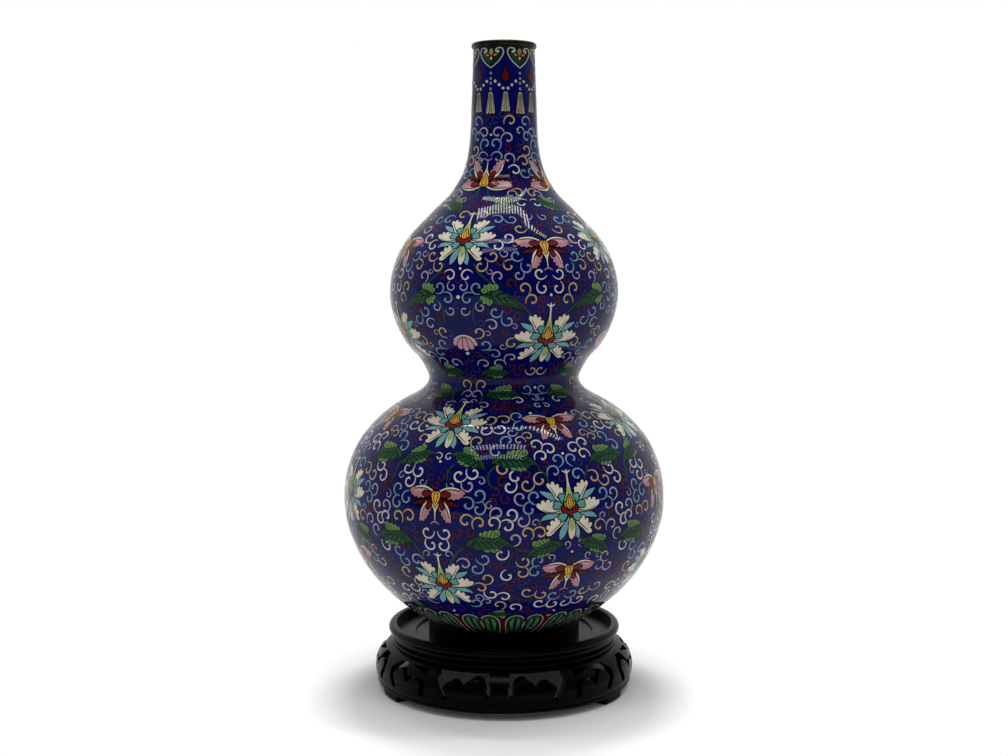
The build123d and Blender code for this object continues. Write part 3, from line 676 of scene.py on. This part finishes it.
butterfly = finish_motif(butterfly)

# Pink bud: a shell of five pale pink lobes that hang from a white rim. Wires run down
# it from the top.
bud = new_motif()
draw_cell(
    bud,
    [(-8.2, 0.4), (-6.6, 3), (-3.6, 4.8), (0, 5.4), (3.6, 4.8), (6.6, 3), (8.2, 0.4), (7.4, -1.6),
     (5.6, -1.4, 1), (5.2, -3.8), (3.4, -4.4), (1.9, -3.6, 1), (1.1, -5.4), (-1.1, -5.4),
     (-1.9, -3.6, 1), (-3.4, -4.4), (-5.2, -3.8), (-5.6, -1.4, 1), (-7.4, -1.6)],
    blush,
    1,
)
for crease in ([(0.4, 5), (1.6, 1.4), (1.9, -3.6)], [(0.9, 4.9), (4, 2.4), (5.6, -1.4)]):
    draw_both(draw_line, bud, crease, wire, 2, [0.55, 0.45])
draw_line(bud, [(-7.2, 2.6), (-3.8, 5), (0, 5.8), (3.8, 5), (7.2, 2.6)], white, 3, [0.4, 0.9, 0.4])
bud = finish_motif(bud)

# Acanthus leaf: a dark green blade with darker veins and mossy strokes between them,
# light green lobes above it and grey-green lobes below.
leaf = new_motif()
draw_cell(
    leaf,
    [(-16, -6.6, 1), (-13.6, -2.2), (-9.6, 0.7), (-6, 2), (-1.8, 2.6), (3, 2.4), (6.6, 1), (11, -2),
     (15.4, -6.4, 1), (10.4, -4.2), (8.2, -4.6, 1), (6.6, -6.6), (4.4, -6.2, 1), (2.6, -8.2),
     (0, -7.2, 1), (-3.2, -8.6), (-5.2, -7, 1), (-8.4, -7.6), (-10.2, -5.8, 1), (-13, -5.8)],
    leaf_green,
    1,
    0.4,
)
draw_cell(
    leaf,
    [(-6.6, 1.6), (-6, 3.8), (-4.4, 3.5, 1), (-3.2, 5), (-1.6, 4.4, 1), (0.2, 5.6), (1.8, 4.8, 1),
     (3.4, 5.9), (5.4, 5.3), (6.2, 3.4), (5.2, 1.4), (2, 0.4), (-2, 0.8)],
    light_green,
    2,
    0.45,
)
draw_cell(
    leaf,
    [(-4, -7), (-1.8, -8.8), (0.2, -8, 1), (2.4, -9), (3.5, -8, 1), (5.4, -8), (5.4, -6.2), (2, -5.8),
     (-1.6, -6.4)],
    sage,
    2,
    0.4,
)
for vein in (
    [(-15, -5.8), (-8, -2.8), (0, -2), (5, -2.4), (12, -3.8)],
    [(-12, -4.4), (-10.4, -2.6), (-9, -0.4)], [(-9.4, -3.4), (-7.6, -1.4), (-6.4, 0.8)],
    [(-6.6, -2.6), (-4.6, -0.8), (-3.2, 1.2)], [(-3.6, -2.2), (-1.6, -0.6), (0, 0.8)],
    [(-0.4, -2), (1.8, -0.6), (3.6, 0.8)], [(3, -2.2), (5, -1.2), (7, 0.2)],
    [(-10.4, -3.8), (-9.4, -5.2), (-9, -6.6)], [(-7.6, -3), (-6, -4.6), (-5, -6.4)],
    [(-4.8, -2.4), (-2.8, -4), (-1.2, -6)], [(-1.6, -2.1), (0.4, -3.6), (2.2, -5.6)],
    [(1.6, -2.1), (3.6, -3.4), (5.6, -5.4)], [(5, -2.4), (6.8, -3.2), (8, -4)],
):
    draw_line(leaf, vein, vein_green, 3.5, [0.45, 0.55, 0.25])
for vein in (
    [(-4.8, 1.4), (-4, 3)], [(-2.4, 1.2), (-1.4, 3.8)], [(0, 1), (1.2, 4.2)],
    [(2.2, 1.2), (3.2, 4.8)], [(4, 1.8), (5, 4.4)], [(-0.6, -6.6), (0.4, -7.6)], [(2, -6.2), (3.2, -7.6)],
):
    draw_line(leaf, vein, leaf_green, 3.5, [0.9, 0.4])
for vein in (
    [(-13, -5), (-11.6, -3), (-10.2, -1.2)], [(-8, -3), (-6.2, -1.2), (-4.8, 0.8)],
    [(-5, -2.4), (-3.2, -0.8), (-1.8, 1)], [(-2, -2.1), (0.2, -0.6), (1.8, 0.8)],
    [(1.4, -2.1), (3.4, -1), (5.2, 0.6)], [(-9, -3.6), (-7.8, -5), (-7, -6.4)],
    [(-6.2, -2.8), (-4.4, -4.4), (-3, -6.2)], [(-3.2, -2.3), (-1.2, -3.8), (0.6, -5.8)],
    [(0, -2.1), (2, -3.6), (4, -5.6)], [(7, -2.8), (9.4, -3.2), (11.6, -4)],
):
    draw_line(leaf, vein, moss, 3, [0.3, 0.6, 0.25])
leaf = finish_motif(leaf)

# Head leaf: the leaf of the upper bulb, with light green lobes all round its head and a
# blade that runs out to one side.
head_leaf = new_motif()
draw_cell(
    head_leaf,
    [(-5, 0), (-3, 3.4), (1, 4.2), (5, 3), (9, 0.4), (14, -4), (21, -10.5, 1), (13, -7.4), (8, -6),
     (5, -6.6), (2, -5.4), (-2, -4.4), (-4.6, -2.6)],
    leaf_green,
    1,
    0.4,
)
for lobes in (
    [(-5.6, 1.2), (-6.4, 3.4), (-4.6, 4, 1), (-4.6, 6), (-2.4, 5.8, 1), (-1.2, 7.2), (1.2, 6.2, 1),
     (3, 6.8), (4.8, 4.6), (3, 2.8), (-1, 2), (-4, 0.6)],
    [(-6, -0.4), (-7, -2.4), (-5.2, -3.2, 1), (-5.2, -5.4), (-3, -5.4, 1), (-1.4, -6.8), (0.6, -5.4),
     (1.2, -3.4), (-1.6, -2), (-4.4, -0.6)],
):
    draw_cell(head_leaf, lobes, light_green, 2, 0.45)
for paint, veins in (
    (vein_green, (
        [(-3, 0), (5, -1.6), (12, -5), (19, -9.6)], [(-1, -0.2), (0.6, 1.8), (3, 2.8)],
        [(3, -1.2), (5, 0.6), (8, 0.8)], [(7, -2.4), (9.4, -1.6), (12, -2.4)],
        [(0, -0.8), (1.6, -2.8), (3.4, -4.8)], [(4, -1.6), (6, -3.6), (7.4, -5.4)],
        [(8, -3), (10, -4.8), (11.6, -6.2)])),
    (moss, (
        [(1, -0.6), (2.8, 1.4), (5.4, 2)], [(5, -1.8), (7.2, -0.4), (10, -0.8)],
        [(2, -1.2), (3.8, -3.2), (5.2, -5.4)], [(6, -2.2), (8.2, -4.2), (9.6, -5.6)],
        [(10, -4), (13, -4.8), (15.6, -6.4)])),
    (leaf_green, (
        [(-3.6, 1.6), (-5, 3)], [(-2, 2.2), (-3.2, 4.8)], [(0, 2.6), (0, 5.8)], [(2, 3), (2.4, 5.6)],
        [(-4, -1), (-5.8, -2.2)], [(-2.8, -1.8), (-4, -4.4)], [(-0.8, -2.6), (-1.2, -5.6)])),
):
    for vein in veins:
        draw_line(head_leaf, vein, paint, 3.5, [0.6, 0.5, 0.3])
head_leaf = finish_motif(head_leaf)

# Vines: thin dark green stems that join the leaves, teal curls about the flowers, and
# small white dots. They are drawn round the vase in degrees and millimetres up its skin.
def across_skin(azimuth, rise):
    """How far round the skin an azimuth lies, in millimetres, at a height up it."""
    return radians(azimuth) * np.interp(rise * mm, arc, outline[:, 0]) / mm


vines = new_motif()
hexagon = [(cos(step * pi / 3), sin(step * pi / 3)) for step in range(6)]
for paint, width, line in (
    (leaf_green, 1.3, [(-19, 74), (-17.5, 79), (-14.5, 85), (-11, 89)]),
    (leaf_green, 1.1, [(1.5, 90), (4, 86), (8, 84.5), (11, 86)]),
    (leaf_green, 1.3, [(-34, 90), (-31, 85), (-29, 79), (-27.5, 74)]),
    (teal, 0.8, [(17, 86.5), (20, 90), (21.5, 95)]),
    (teal, 0.8, [(29.5, 84.5), (26, 88.5), (24, 94)]),
    (leaf_green, 1.1, [(39, 87), (43, 84.5), (48, 88)]),
    (leaf_green, 1.2, [(1, 138), (-3.5, 134.5), (-5.5, 129), (-4.5, 123.5), (-2, 121)]),
    (leaf_green, 1.2, [(12, 134), (14.5, 129.5), (15.5, 124)]),
    (leaf_green, 1.2, [(31.5, 134.5), (29.5, 129), (28.8, 124)]),
    (leaf_green, 1.2, [(-18, 136), (-20, 131), (-19.5, 126)]),
    (leaf_green, 1.2, [(-38, 138), (-41, 133), (-41.5, 127), (-43, 121)]),
    (teal, 1.1, [(-24.5, 120), (-26.5, 124), (-27.8, 129), (-26, 133.5), (-23.8, 131)]),
    (teal, 1.1, [(-21.7, 120), (-19.7, 124), (-18.6, 129), (-20.3, 133.5), (-22.6, 131)]),
    (teal, 1.0, [(21, 75), (19.6, 79), (20.4, 83), (22.6, 81)]),
    (teal, 1.0, [(25.6, 75), (27, 79), (26.2, 83), (24, 81)]),
    (leaf_green, 1.8, [(-47, 196), (-39, 193), (-33, 187), (-29, 180)]),
    (leaf_green, 1.4, [(-10, 195), (-14.5, 190), (-14, 184)]),
    (teal, 1.2, [(12, 194), (16, 188), (15.5, 182), (17.4, 176), (20.6, 173)]),
    (teal, 1.2, [(32.6, 194), (29, 188), (29.3, 182), (27.2, 176), (24.2, 173)]),
    (leaf_green, 1.6, [(1, 265), (5, 260.5), (9, 257), (13, 252)]),
    (leaf_green, 1.6, [(43.6, 265), (39.6, 260.5), (35.6, 257), (31.6, 252)]),
    (leaf_green, 1.2, [(-9, 262), (-13.5, 258), (-15, 252), (-14, 246)]),
    (leaf_green, 1.2, [(-36, 262), (-31.5, 258), (-30, 252), (-31, 246)]),
    (teal, 1.1, [(-24, 243), (-27, 247), (-25.5, 251), (-22.6, 248), (-19.6, 251), (-18, 247), (-21, 243)]),
    (leaf_green, 1.3, [(-15, 283), (-12, 277), (-6, 271)]),
    (leaf_green, 1.3, [(-30.4, 283), (-33.4, 277), (-39.4, 271)]),
    (teal, 1.3, [(20.5, 300), (17, 304), (15.6, 309), (17.6, 312)]),
    (teal, 1.3, [(23.5, 300), (27.6, 304), (29, 309), (27, 312)]),
    (leaf_green, 1.4, [(-10, 333), (-16, 338), (-17, 345), (-13, 352)]),
    (leaf_green, 1.4, [(-35, 333), (-29, 338), (-28, 345), (-32, 352)]),
    (teal, 1.2, [(9, 362), (16, 366), (24, 363)]),
    (teal, 1.0, [(9.5, 54), (10.5, 48), (10, 42), (9, 37)]),
    (teal, 1.0, [(-12, 40), (-15, 38), (-15, 46)]),
):
    flat_line = [(across_skin(azimuth, rise), rise) for azimuth, rise in line]
    draw_line(vines, flat_line, paint, 0, [width * 0.8, width, width * 0.6], steps=6)
for azimuth, rise, size in (
    (23.4, 82.7, 0.9), (-23.5, 137.3, 1), (-23.2, 34.2, 1), (23.2, 34.5, 1), (22.3, 142.7, 1),
    (23, 199, 1), (-22, 262.5, 1.3), (-21.3, 225, 1.4), (22.7, 264, 1), (-21.7, 279.8, 1),
    (-22, 378.5, 0.9), (23.3, 382, 0.8), (13.5, 175, 1.2), (33, 173.6, 1.2),
):
    middle = across_skin(azimuth, rise)
    draw_cell(vines, [(middle + size * x, rise + size * y) for x, y in hexagon], white, 1, 0.3, 3)
vines = finish_motif(vines)

# The places of the flowers, leaves and vines in one quarter, which repeats four times.
lotus_lift, butterfly_lift = 0.9, 0.4
lower_flowers, upper_flowers, leaves, stems = [], [], [], []
for turn in range(quarters):
    ahead = turn * quarter
    stems.append((vines, ahead, 0, 0, 1, 1))
    for azimuth, rise, size in ((-23.3, 165.2, 0.98), (22, 110, 1), (-22.9, 60.5, 0.95)):
        lower_flowers.append((lotus, azimuth + ahead, rise + lotus_lift, 0, size, 1))
    for azimuth, rise, size in ((22.3, 167, 0.95), (-23.1, 115.6, 0.99), (23.3, 70, 0.95)):
        lower_flowers.append((butterfly, azimuth + ahead, rise + butterfly_lift, 0, size, 1))
    for azimuth, rise, size in ((22.7, 236.6, 1), (-23, 300.3, 0.95)):
        upper_flowers.append((lotus, azimuth + ahead, rise + lotus_lift, 0, size, 1))
    upper_flowers.append((butterfly, 22 + ahead, 295, 0, 1, 1))
    upper_flowers.append((butterfly, -24.2 + ahead, 347.2, 180, 1.02, 1))
    upper_flowers.append((bud, -21.2 + ahead, 232.5, 0, 1, 1))
    for azimuth, rise, slant, size, flip in (
        (-4.5, 92.4, 0, 1, 1),
        (-40.5, 92, 180, 1, -1),
        (12.5, 87.4, -160, 0.85, -1),
        (33, 88, -20, 0.85, 1),
        (-13, 142, 160, 0.85, -1),
        (-33.4, 142, 20, 0.85, 1),
        (5, 141, -6, 1, 1),
        (40, 141.5, 186, 1, -1),
        (-2, 34.4, 4, 0.55, 1),
        (47.5, 35, 176, 0.55, -1),
        (0, 196.5, 0, 0.8, 1),
        (42, 196, 180, 0.8, -1),
        (-5, 211, 0, 0.66, 1),
        (-40, 211, 180, 0.66, -1),
        (0, 331, 24, 0.8, 1),
        (43, 331, 156, 0.8, -1),
    ):
        leaves.append((leaf, azimuth + ahead, rise, slant, size, flip))
    stems.append((head_leaf, -6 + ahead, 264, 0, 1, 1))
    stems.append((head_leaf, -39.4 + ahead, 264, 180, 1, -1))
for name, places in (
    ("lower_flowers", lower_flowers),
    ("upper_flowers", upper_flowers),
    ("leaves", leaves),
    ("vines_and_head_leaves", stems),
):
    lay_on_vase(name, places, cell_enamel)

# Filling scrolls: wherever the pattern leaves room, the maker set one more small dim
# scroll, brick, plum or dusky blue, so that no large piece of glass is left unheld.
dusk = display(0.13, 0.16, 0.34)
room, between_fills, fill_step, front_margin = 2.3 * mm, 4.8 * mm, 2.2, 1.3
fill_low, fill_high, fill_stout, fill_size = 33, 394, 1.6, 0.62
taken = [
    spot.co.copy()
    for name in ("lower_scrolls", "upper_scrolls", "deep_scrolls", "lower_flowers", "upper_flowers",
                 "leaves", "vines_and_head_leaves")
    for spot in bpy.data.objects[name].data.vertices
    if spot.co.y < 0 and abs(spot.co.x) < -front_margin * spot.co.y
]
nearest = KDTree(len(taken))
for index, spot in enumerate(taken):
    nearest.insert(spot, index)
nearest.balance()
dice = np.random.default_rng(5)
fills, fill_spots = [], []
for rise in np.arange(fill_low, fill_high, fill_step):
    across_step = np.degrees(fill_step * mm / np.interp(rise * mm, arc, outline[:, 0]))
    for azimuth in np.arange(-quarter / 2, quarter / 2, across_step):
        spot = Vector(on_skin(azimuth, rise * mm, 0))
        if nearest.find(spot)[2] < room:
            continue
        if any((spot - other).length < between_fills for other in fill_spots):
            continue
        fill_spots.append(spot)
        glass = (brick, plum, brick, dusk)[dice.integers(4)]
        turn_to, curl = dice.uniform(0, 360), (left, right)[dice.integers(2)]
        for turn in range(quarters):
            place = azimuth + turn * quarter
            fills.append((hook(glass, fill_stout), place, rise, turn_to, fill_size, curl))
lay_on_vase("filling_scrolls", fills, cell_enamel)

# Neck border: seven hearts under the lip, red drops between them, strings of beads
# and a row of fourteen tassels.
heart = new_motif()
draw_cell(heart, whole([(0, -6.4, 1), (4.6, -2.4), (8.2, 2.8), (7.4, 6.1), (0, 6.3)]), bottle, 0, 0)
draw_cell(heart, [(0, -5, 1), (-4, -1.8), (-6.6, 2.6), (-4.4, 4.6), (-1.4, 3.4)], leaf_green, 1, 0.3)
for points in both_sides(
    [(0, -6.4), (4.8, -2.4), (7.8, 2.4), (7.2, 5.4), (4.6, 5.9), (3.0, 4.4), (4.4, 3.2)]
):
    draw_line(heart, points, wire, 2, [1.1, 1.15, 1.25])
    draw_line(heart, points, pearl, 2.5, [0.6, 0.7, 0.8])
draw_both(draw_cell, heart, [(3.6, 3.8), (4.5, 4.6), (5.2, 3.6), (4.4, 2.8)], pearl, 3, 0)
draw_cell(heart, whole([(0, 6), (1.6, 4.6), (1.4, 2), (0, 0.8)]), straw, 2)
draw_both(draw_cell, heart, [(0.6, 1.6), (2.8, 2.6), (4.6, 2.2, 1), (2.6, 0.6)], straw, 2, 0.4)
draw_cell(heart, whole([(0, 1), (1.2, -0.5), (0, -2.2, 1)]), blush, 3)
heart = finish_motif(heart)

drop = new_motif()
draw_cell(drop, whole([(0, 6.6, 1), (0.8, 1.4), (2.6, -4), (1.8, -6.6), (0, -7.4)]), rust, 1)
drop = finish_motif(drop)

lilac_bead, cream_bead, tassel = new_motif(), new_motif(), new_motif()
ring = [(cos(radians(45 * step)), sin(radians(45 * step))) for step in range(8)]
draw_cell(lilac_bead, [(1.05 * x, 1.15 * y) for x, y in ring], mauve, 1, 0.35, 2)
draw_cell(cream_bead, [(1.1 * x, 1.15 * y) for x, y in ring], pearl, 1, 0.35, 2)
draw_cell(
    tassel,
    whole([(0, 7), (1.3, 6.5), (1.9, 4), (2.6, -1), (3.3, -6, 1), (2.2, -6.9), (1.1, -6.2, 1), (0, -7)]),
    pearl,
    1,
)
draw_line(tassel, [(0, 6.2), (0, -6)], reed, 2, [0.8, 1.2])
for lean in (-1, 1):
    draw_line(tassel, on_side(lean, [(0.5, 6), (0.7, 3), (1.1, -5.8)]), straw, 2.5, [0.3, 0.4, 0.4])
    draw_line(tassel, on_side(lean, [(1, 5), (1.4, 2), (2.2, -5.8)]), vein_green, 2.5, [0.3, 0.35, 0.3])
    draw_line(tassel, on_side(lean, [(0.2, 6), (0.3, 3), (0.5, -5.8)]), vein_green, 3, [0.3, 0.3, 0.3])
band, band_width, half_band = new_motif(), 4.2, 13.4
draw_line(band, [(-half_band, 0), (half_band, 0)], bottle, 0, [band_width], steps=8)
band = finish_motif(band)
lilac_bead, cream_bead, tassel = map(finish_motif, (lilac_bead, cream_bead, tassel))

neck_border = []
heart_places = [-24, 29.5, 80.5, 131, 181.5, 232.5, 284.5]
heart_rise, drop_rise, band_rise = 426.3, 418.6, 433.9
tassel_rise, short_tassel_rise, short_tassel_size = 398.3, 399, 0.92
for this, after in zip(heart_places, heart_places[1:] + [heart_places[0] + 360]):
    between = (this + after) / 2
    neck_border.append((heart, this, heart_rise, 0, 1, 1))
    neck_border.append((drop, between, drop_rise, 0, 1, 1))
    neck_border.append((band, this, band_rise, 0, 1, 1))
    neck_border.append((tassel, this, tassel_rise, 0, 1, 1))
    neck_border.append((tassel, between, short_tassel_rise, 0, short_tassel_size, 1))
    for rise in (416.7, 413.4, 410.5, 407):
        neck_border.append((lilac_bead, this, rise, 0, 1, 1))
    for share_out, rise in ((0.31, 411.7), (0.58, 409.4), (0.84, 407.3)):
        for azimuth in (this + share_out * (between - this), after - share_out * (after - between)):
            neck_border.append((cream_bead, azimuth, rise, 0, 1, 1))
lay_on_vase("neck_border", neck_border, cell_enamel)

# Foot border: sixteen lappets that stand on the foot, each of two pale arches that curl
# in over green and slate glass, with an ochre spear between them. Dark red glass with a
# pink tip fills the ground between two lappets.
lappet = new_motif()
half_lappet = [(0.3, 0.4), (7.8, 0.4), (9.3, 8), (10.6, 16), (11.2, 22), (10.8, 26), (9.2, 28.6),
               (6.8, 29.8), (4, 29.2), (0.6, 26)]
moss_cell = [(4.2, 6, 1), (6.8, 8), (8.4, 15), (9.6, 21), (9.2, 25.4), (7.4, 27.8), (5.8, 24), (5, 16)]
slate_cell = [(2.4, 3, 1), (4, 8), (4.6, 16), (5.2, 23), (4, 26.4), (2.8, 23), (2.2, 12)]
arch_line = [(7.9, 0.4), (9.4, 8), (10.8, 16), (11.4, 22), (11, 26), (9.4, 29), (6.8, 30.4), (4, 29.8),
             (2, 28.2), (1.3, 26.2)]
for side in (-1, 1):
    draw_cell(lappet, on_side(side, half_lappet), leaf_green, 0, 0)
    draw_cell(lappet, on_side(side, moss_cell), moss, 1, 0.5)
    draw_cell(lappet, on_side(side, slate_cell), slate, 2.5, 0.5)
    for bend, paint in ((6.2, vein_green), (8, light_green)):
        stroke = on_side(side, [(bend - 1.6, 8), (bend - 0.4, 17), (bend, 25)])
        draw_line(lappet, stroke, paint, 2, [0.4, 0.8, 0.5])
    stroke = on_side(side, [(2.9, 6), (3.6, 16), (4, 25)])
    draw_line(lappet, stroke, vein_green, 3.5, [0.4, 0.6, 0.4])
    arch = on_side(side, arch_line)
    draw_line(lappet, arch, wire, 3, [1.0, 1.3, 1.3])
    draw_line(lappet, arch, pearl, 4, [0.5, 0.65, 0.7])
draw_cell(lappet, whole([(0, 24.4, 1), (1.1, 20), (1.1, 14), (0, 9, 1)]), straw, 3)
lappet = finish_motif(lappet)
gap_fill = new_motif()
draw_cell(gap_fill, whole([(1.4, 0.4), (2, 14), (2.6, 26), (0, 30.6, 1)]), rust, 0)
draw_line(gap_fill, [(-1.5, 29.4), (0, 28), (1.5, 29.4)], blush, 1, [0.5, 1.2, 0.5])
gap_fill = finish_motif(gap_fill)
lappet_count, first_lappet, lappet_rise = 16, -11.9, 0.6
foot_border = []
for turn in range(lappet_count):
    middle = first_lappet + turn * 360 / lappet_count
    foot_border.append((lappet, middle, lappet_rise, 0, 1, 1))
    foot_border.append((gap_fill, middle + 180 / lappet_count, lappet_rise, 0, 1, 1))
lay_on_vase("foot_border", foot_border, cell_enamel)

# Stand: near-black stained hardwood, oiled and rubbed to a satin polish. It is carved and
# turned in tiers, which hidden pegs of the same wood hold together.
def dress(names, material):
    """Gives pieces of the model their material."""
    for name in names:
        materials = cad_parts[name].data.materials
        materials.clear()
        materials.append(material)


wood, wood_tree, wood_shader = new_material("stand wood", {"Roughness": 0.26, "Specular IOR Level": 0.045})
place = node(wood_tree, "ShaderNodeTexCoord").outputs["Object"]
stretch = node(wood_tree, "ShaderNodeMapping", {"Vector": place, "Scale": (60, 700, 500)})
grain = node(wood_tree, "ShaderNodeTexNoise", {"Vector": stretch.outputs[0], "Scale": 1, "Detail": 5})
wood_colour = blend_colours(
    wood_tree, grain.outputs["Fac"], (*display(0.012, 0.011, 0.019), 1), (*display(0.034, 0.032, 0.044), 1)
)
wood_tree.links.new(wood_colour, wood_shader.inputs["Base Color"])
wood_bump = node(
    wood_tree, "ShaderNodeBump", {"Height": grain.outputs["Fac"], "Strength": 0.15, "Distance": 0.1 * mm}
)
wood_tree.links.new(wood_bump.outputs[0], wood_shader.inputs["Normal"])
stand_pieces = ("dish", "waist_ring", "apron", "base_ring", "foot_right", "foot_left", "foot_back")
dress((*stand_pieces, "tier_pegs", "foot_pegs"), wood)

# Copper: the raised sections of the body and its base plate are warm and dull. The mouth
# ring is the same metal, gone dark with age. The foot ring is near-black: dark with age, and
# darker still with painted shade from under the lower bulb. Turquoise counter-enamel is
# fired on inside and underneath.
def aged_copper(name, dark, bright, smooth, dull):
    """Copper whose colour and polish change from place to place."""
    material, tree, shader = new_material(name, {"Metallic": 1})
    place = node(tree, "ShaderNodeTexCoord").outputs["Object"]
    stain = node(tree, "ShaderNodeTexNoise", {"Vector": place, "Scale": 160, "Detail": 6})
    worn = spread(tree, stain.outputs["Fac"], (0.35, 0.65), (0, 1))
    tree.links.new(blend_colours(tree, worn, (*dark, 1), (*bright, 1)), shader.inputs["Base Color"])
    tree.links.new(spread(tree, worn, (0, 1), (dull, smooth)), shader.inputs["Roughness"])
    hammer = node(
        tree, "ShaderNodeBump", {"Height": stain.outputs["Fac"], "Strength": 0.2, "Distance": 0.1 * mm}
    )
    tree.links.new(hammer.outputs[0], shader.inputs["Normal"])
    return material


inner_copper = aged_copper("dull copper", display(0.40, 0.24, 0.16), display(0.62, 0.38, 0.25), 0.4, 0.6)
rim_copper = aged_copper("dark copper", display(0.09, 0.09, 0.08), display(0.20, 0.17, 0.13), 0.3, 0.5)
# The foot ring's near-black colour is partly age and partly painted shade from under the lower bulb.
foot_copper_painted_shade = aged_copper("blackened copper with painted shade", display(0.02, 0.02, 0.02), display(0.07, 0.06, 0.06), 0.45, 0.6)
counter_enamel = enamel("counter enamel", display(0.16, 0.40, 0.42))
copper_sections = ("copper_neck", "copper_upper_shoulder", "copper_upper_belly", "copper_lower_shoulder",
                   "copper_lower_belly")
dress((*copper_sections, "base_plate"), inner_copper)
dress(("mouth_ring",), rim_copper)
dress(("foot_ring",), foot_copper_painted_shade)
dress(("lining_enamel", "base_enamel"), counter_enamel)

# Studio: a white floor that runs out of sight in a white room, three rows of narrow lamps
# overhead that show as stripes in the glaze, and three soft lamps, two at the sides and
# one overhead, that don't show in it.
floor_radius, shadow_middle, shadow_fade = 6, (0, -0.035, 0), (0.11, 0.3)
bpy.ops.mesh.primitive_circle_add(vertices=96, radius=floor_radius, fill_type="NGON", location=(0, 0, 0))
floor = bpy.context.object
floor.name = "studio_floor"
paper, paper_tree, paper_shader = new_material(
    "white paper", {"Base Color": (0.9, 0.9, 0.9, 1), "Roughness": 0.9, "Specular IOR Level": 0}
)
place = node(paper_tree, "ShaderNodeTexCoord").outputs["Object"]
far = node(paper_tree, "ShaderNodeVectorMath", {0: place, 1: shadow_middle}, operation="DISTANCE")
fade = spread(paper_tree, far.outputs["Value"], shadow_fade, (0, 1))
glow = node(paper_tree, "ShaderNodeEmission", {"Color": (1, 1, 1, 1), "Strength": 1.0})
join = node(paper_tree, "ShaderNodeMixShader", {0: fade, 1: paper_shader.outputs[0], 2: glow.outputs[0]})
paper_tree.links.new(join.outputs[0], paper_tree.nodes["Material Output"].inputs["Surface"])
floor.data.materials.append(paper)

world = bpy.data.worlds.new("studio")
bpy.context.scene.world = world
world.use_nodes = True
world_tree = world.node_tree
background = world_tree.nodes["Background"]
path = node(world_tree, "ShaderNodeLightPath")
direct = node(
    world_tree,
    "ShaderNodeMath",
    {0: path.outputs["Is Camera Ray"], 1: path.outputs["Is Transmission Ray"]},
    operation="MAXIMUM",
)
heading = node(world_tree, "ShaderNodeTexCoord").outputs["Generated"]
front = node(world_tree, "ShaderNodeSeparateXYZ", {0: heading})
mirror_level = spread(world_tree, front.outputs["Y"], (-0.6, 0.3), (0.1, 0.9))
room_level = node(
    world_tree,
    "ShaderNodeMix",
    {0: path.outputs["Is Glossy Ray"], 2: 0.45, 3: mirror_level},
    data_type="FLOAT",
)
level = node(
    world_tree, "ShaderNodeMath", {0: room_level.outputs[0], 1: direct.outputs[0]}, operation="MAXIMUM"
)
world_tree.links.new(level.outputs[0], background.inputs["Strength"])
background.inputs["Color"].default_value = (1, 1, 1, 1)


def area_lamp(place, width, length, power):
    """A rectangular lamp that points straight down."""
    bpy.ops.object.light_add(type="AREA", location=place)
    lamp = bpy.context.object
    lamp.data.shape = "RECTANGLE"
    lamp.data.size, lamp.data.size_y = width, length
    lamp.data.energy = power
    return lamp


strip_gap, strip_width, tail_start, tail_slope, panel_height = 0.065, 0.024, 0.37, 0.35, 2.0
for row_y, length, power, first, last, row_bend, lights_floor in (
    (0.05, 0.13, 0.5, -9, 15, 0.45, True),
    (-0.70, 0.2, 0.5, -10, 6, 0, True),
    (-1.15, 0.2, 0.4, -10, 6, 0, False),
):
    for strip in range(first, last + 1):
        strip_x = strip * strip_gap
        strip_y = row_y + row_bend * min(strip_x, tail_start) ** 2 - tail_slope * max(0, strip_x - tail_start)
        lamp = area_lamp((strip_x, strip_y, panel_height), strip_width, length, power)
        lamp.visible_diffuse = lights_floor
for place, width, length, power, tilt, turn in (
    ((-1.3, -0.8, 0.9), 0.8, 1.2, 1.3, 62, -58),
    ((1.3, -0.8, 0.9), 0.8, 1.2, 1.3, 62, 58),
    ((0, 0.5, 2.0), 0.5, 0.3, 19, 0, 0),
):
    lamp = area_lamp(place, width, length, power)
    lamp.visible_glossy = False
    lamp.rotation_euler = (radians(tilt), 0, radians(turn))
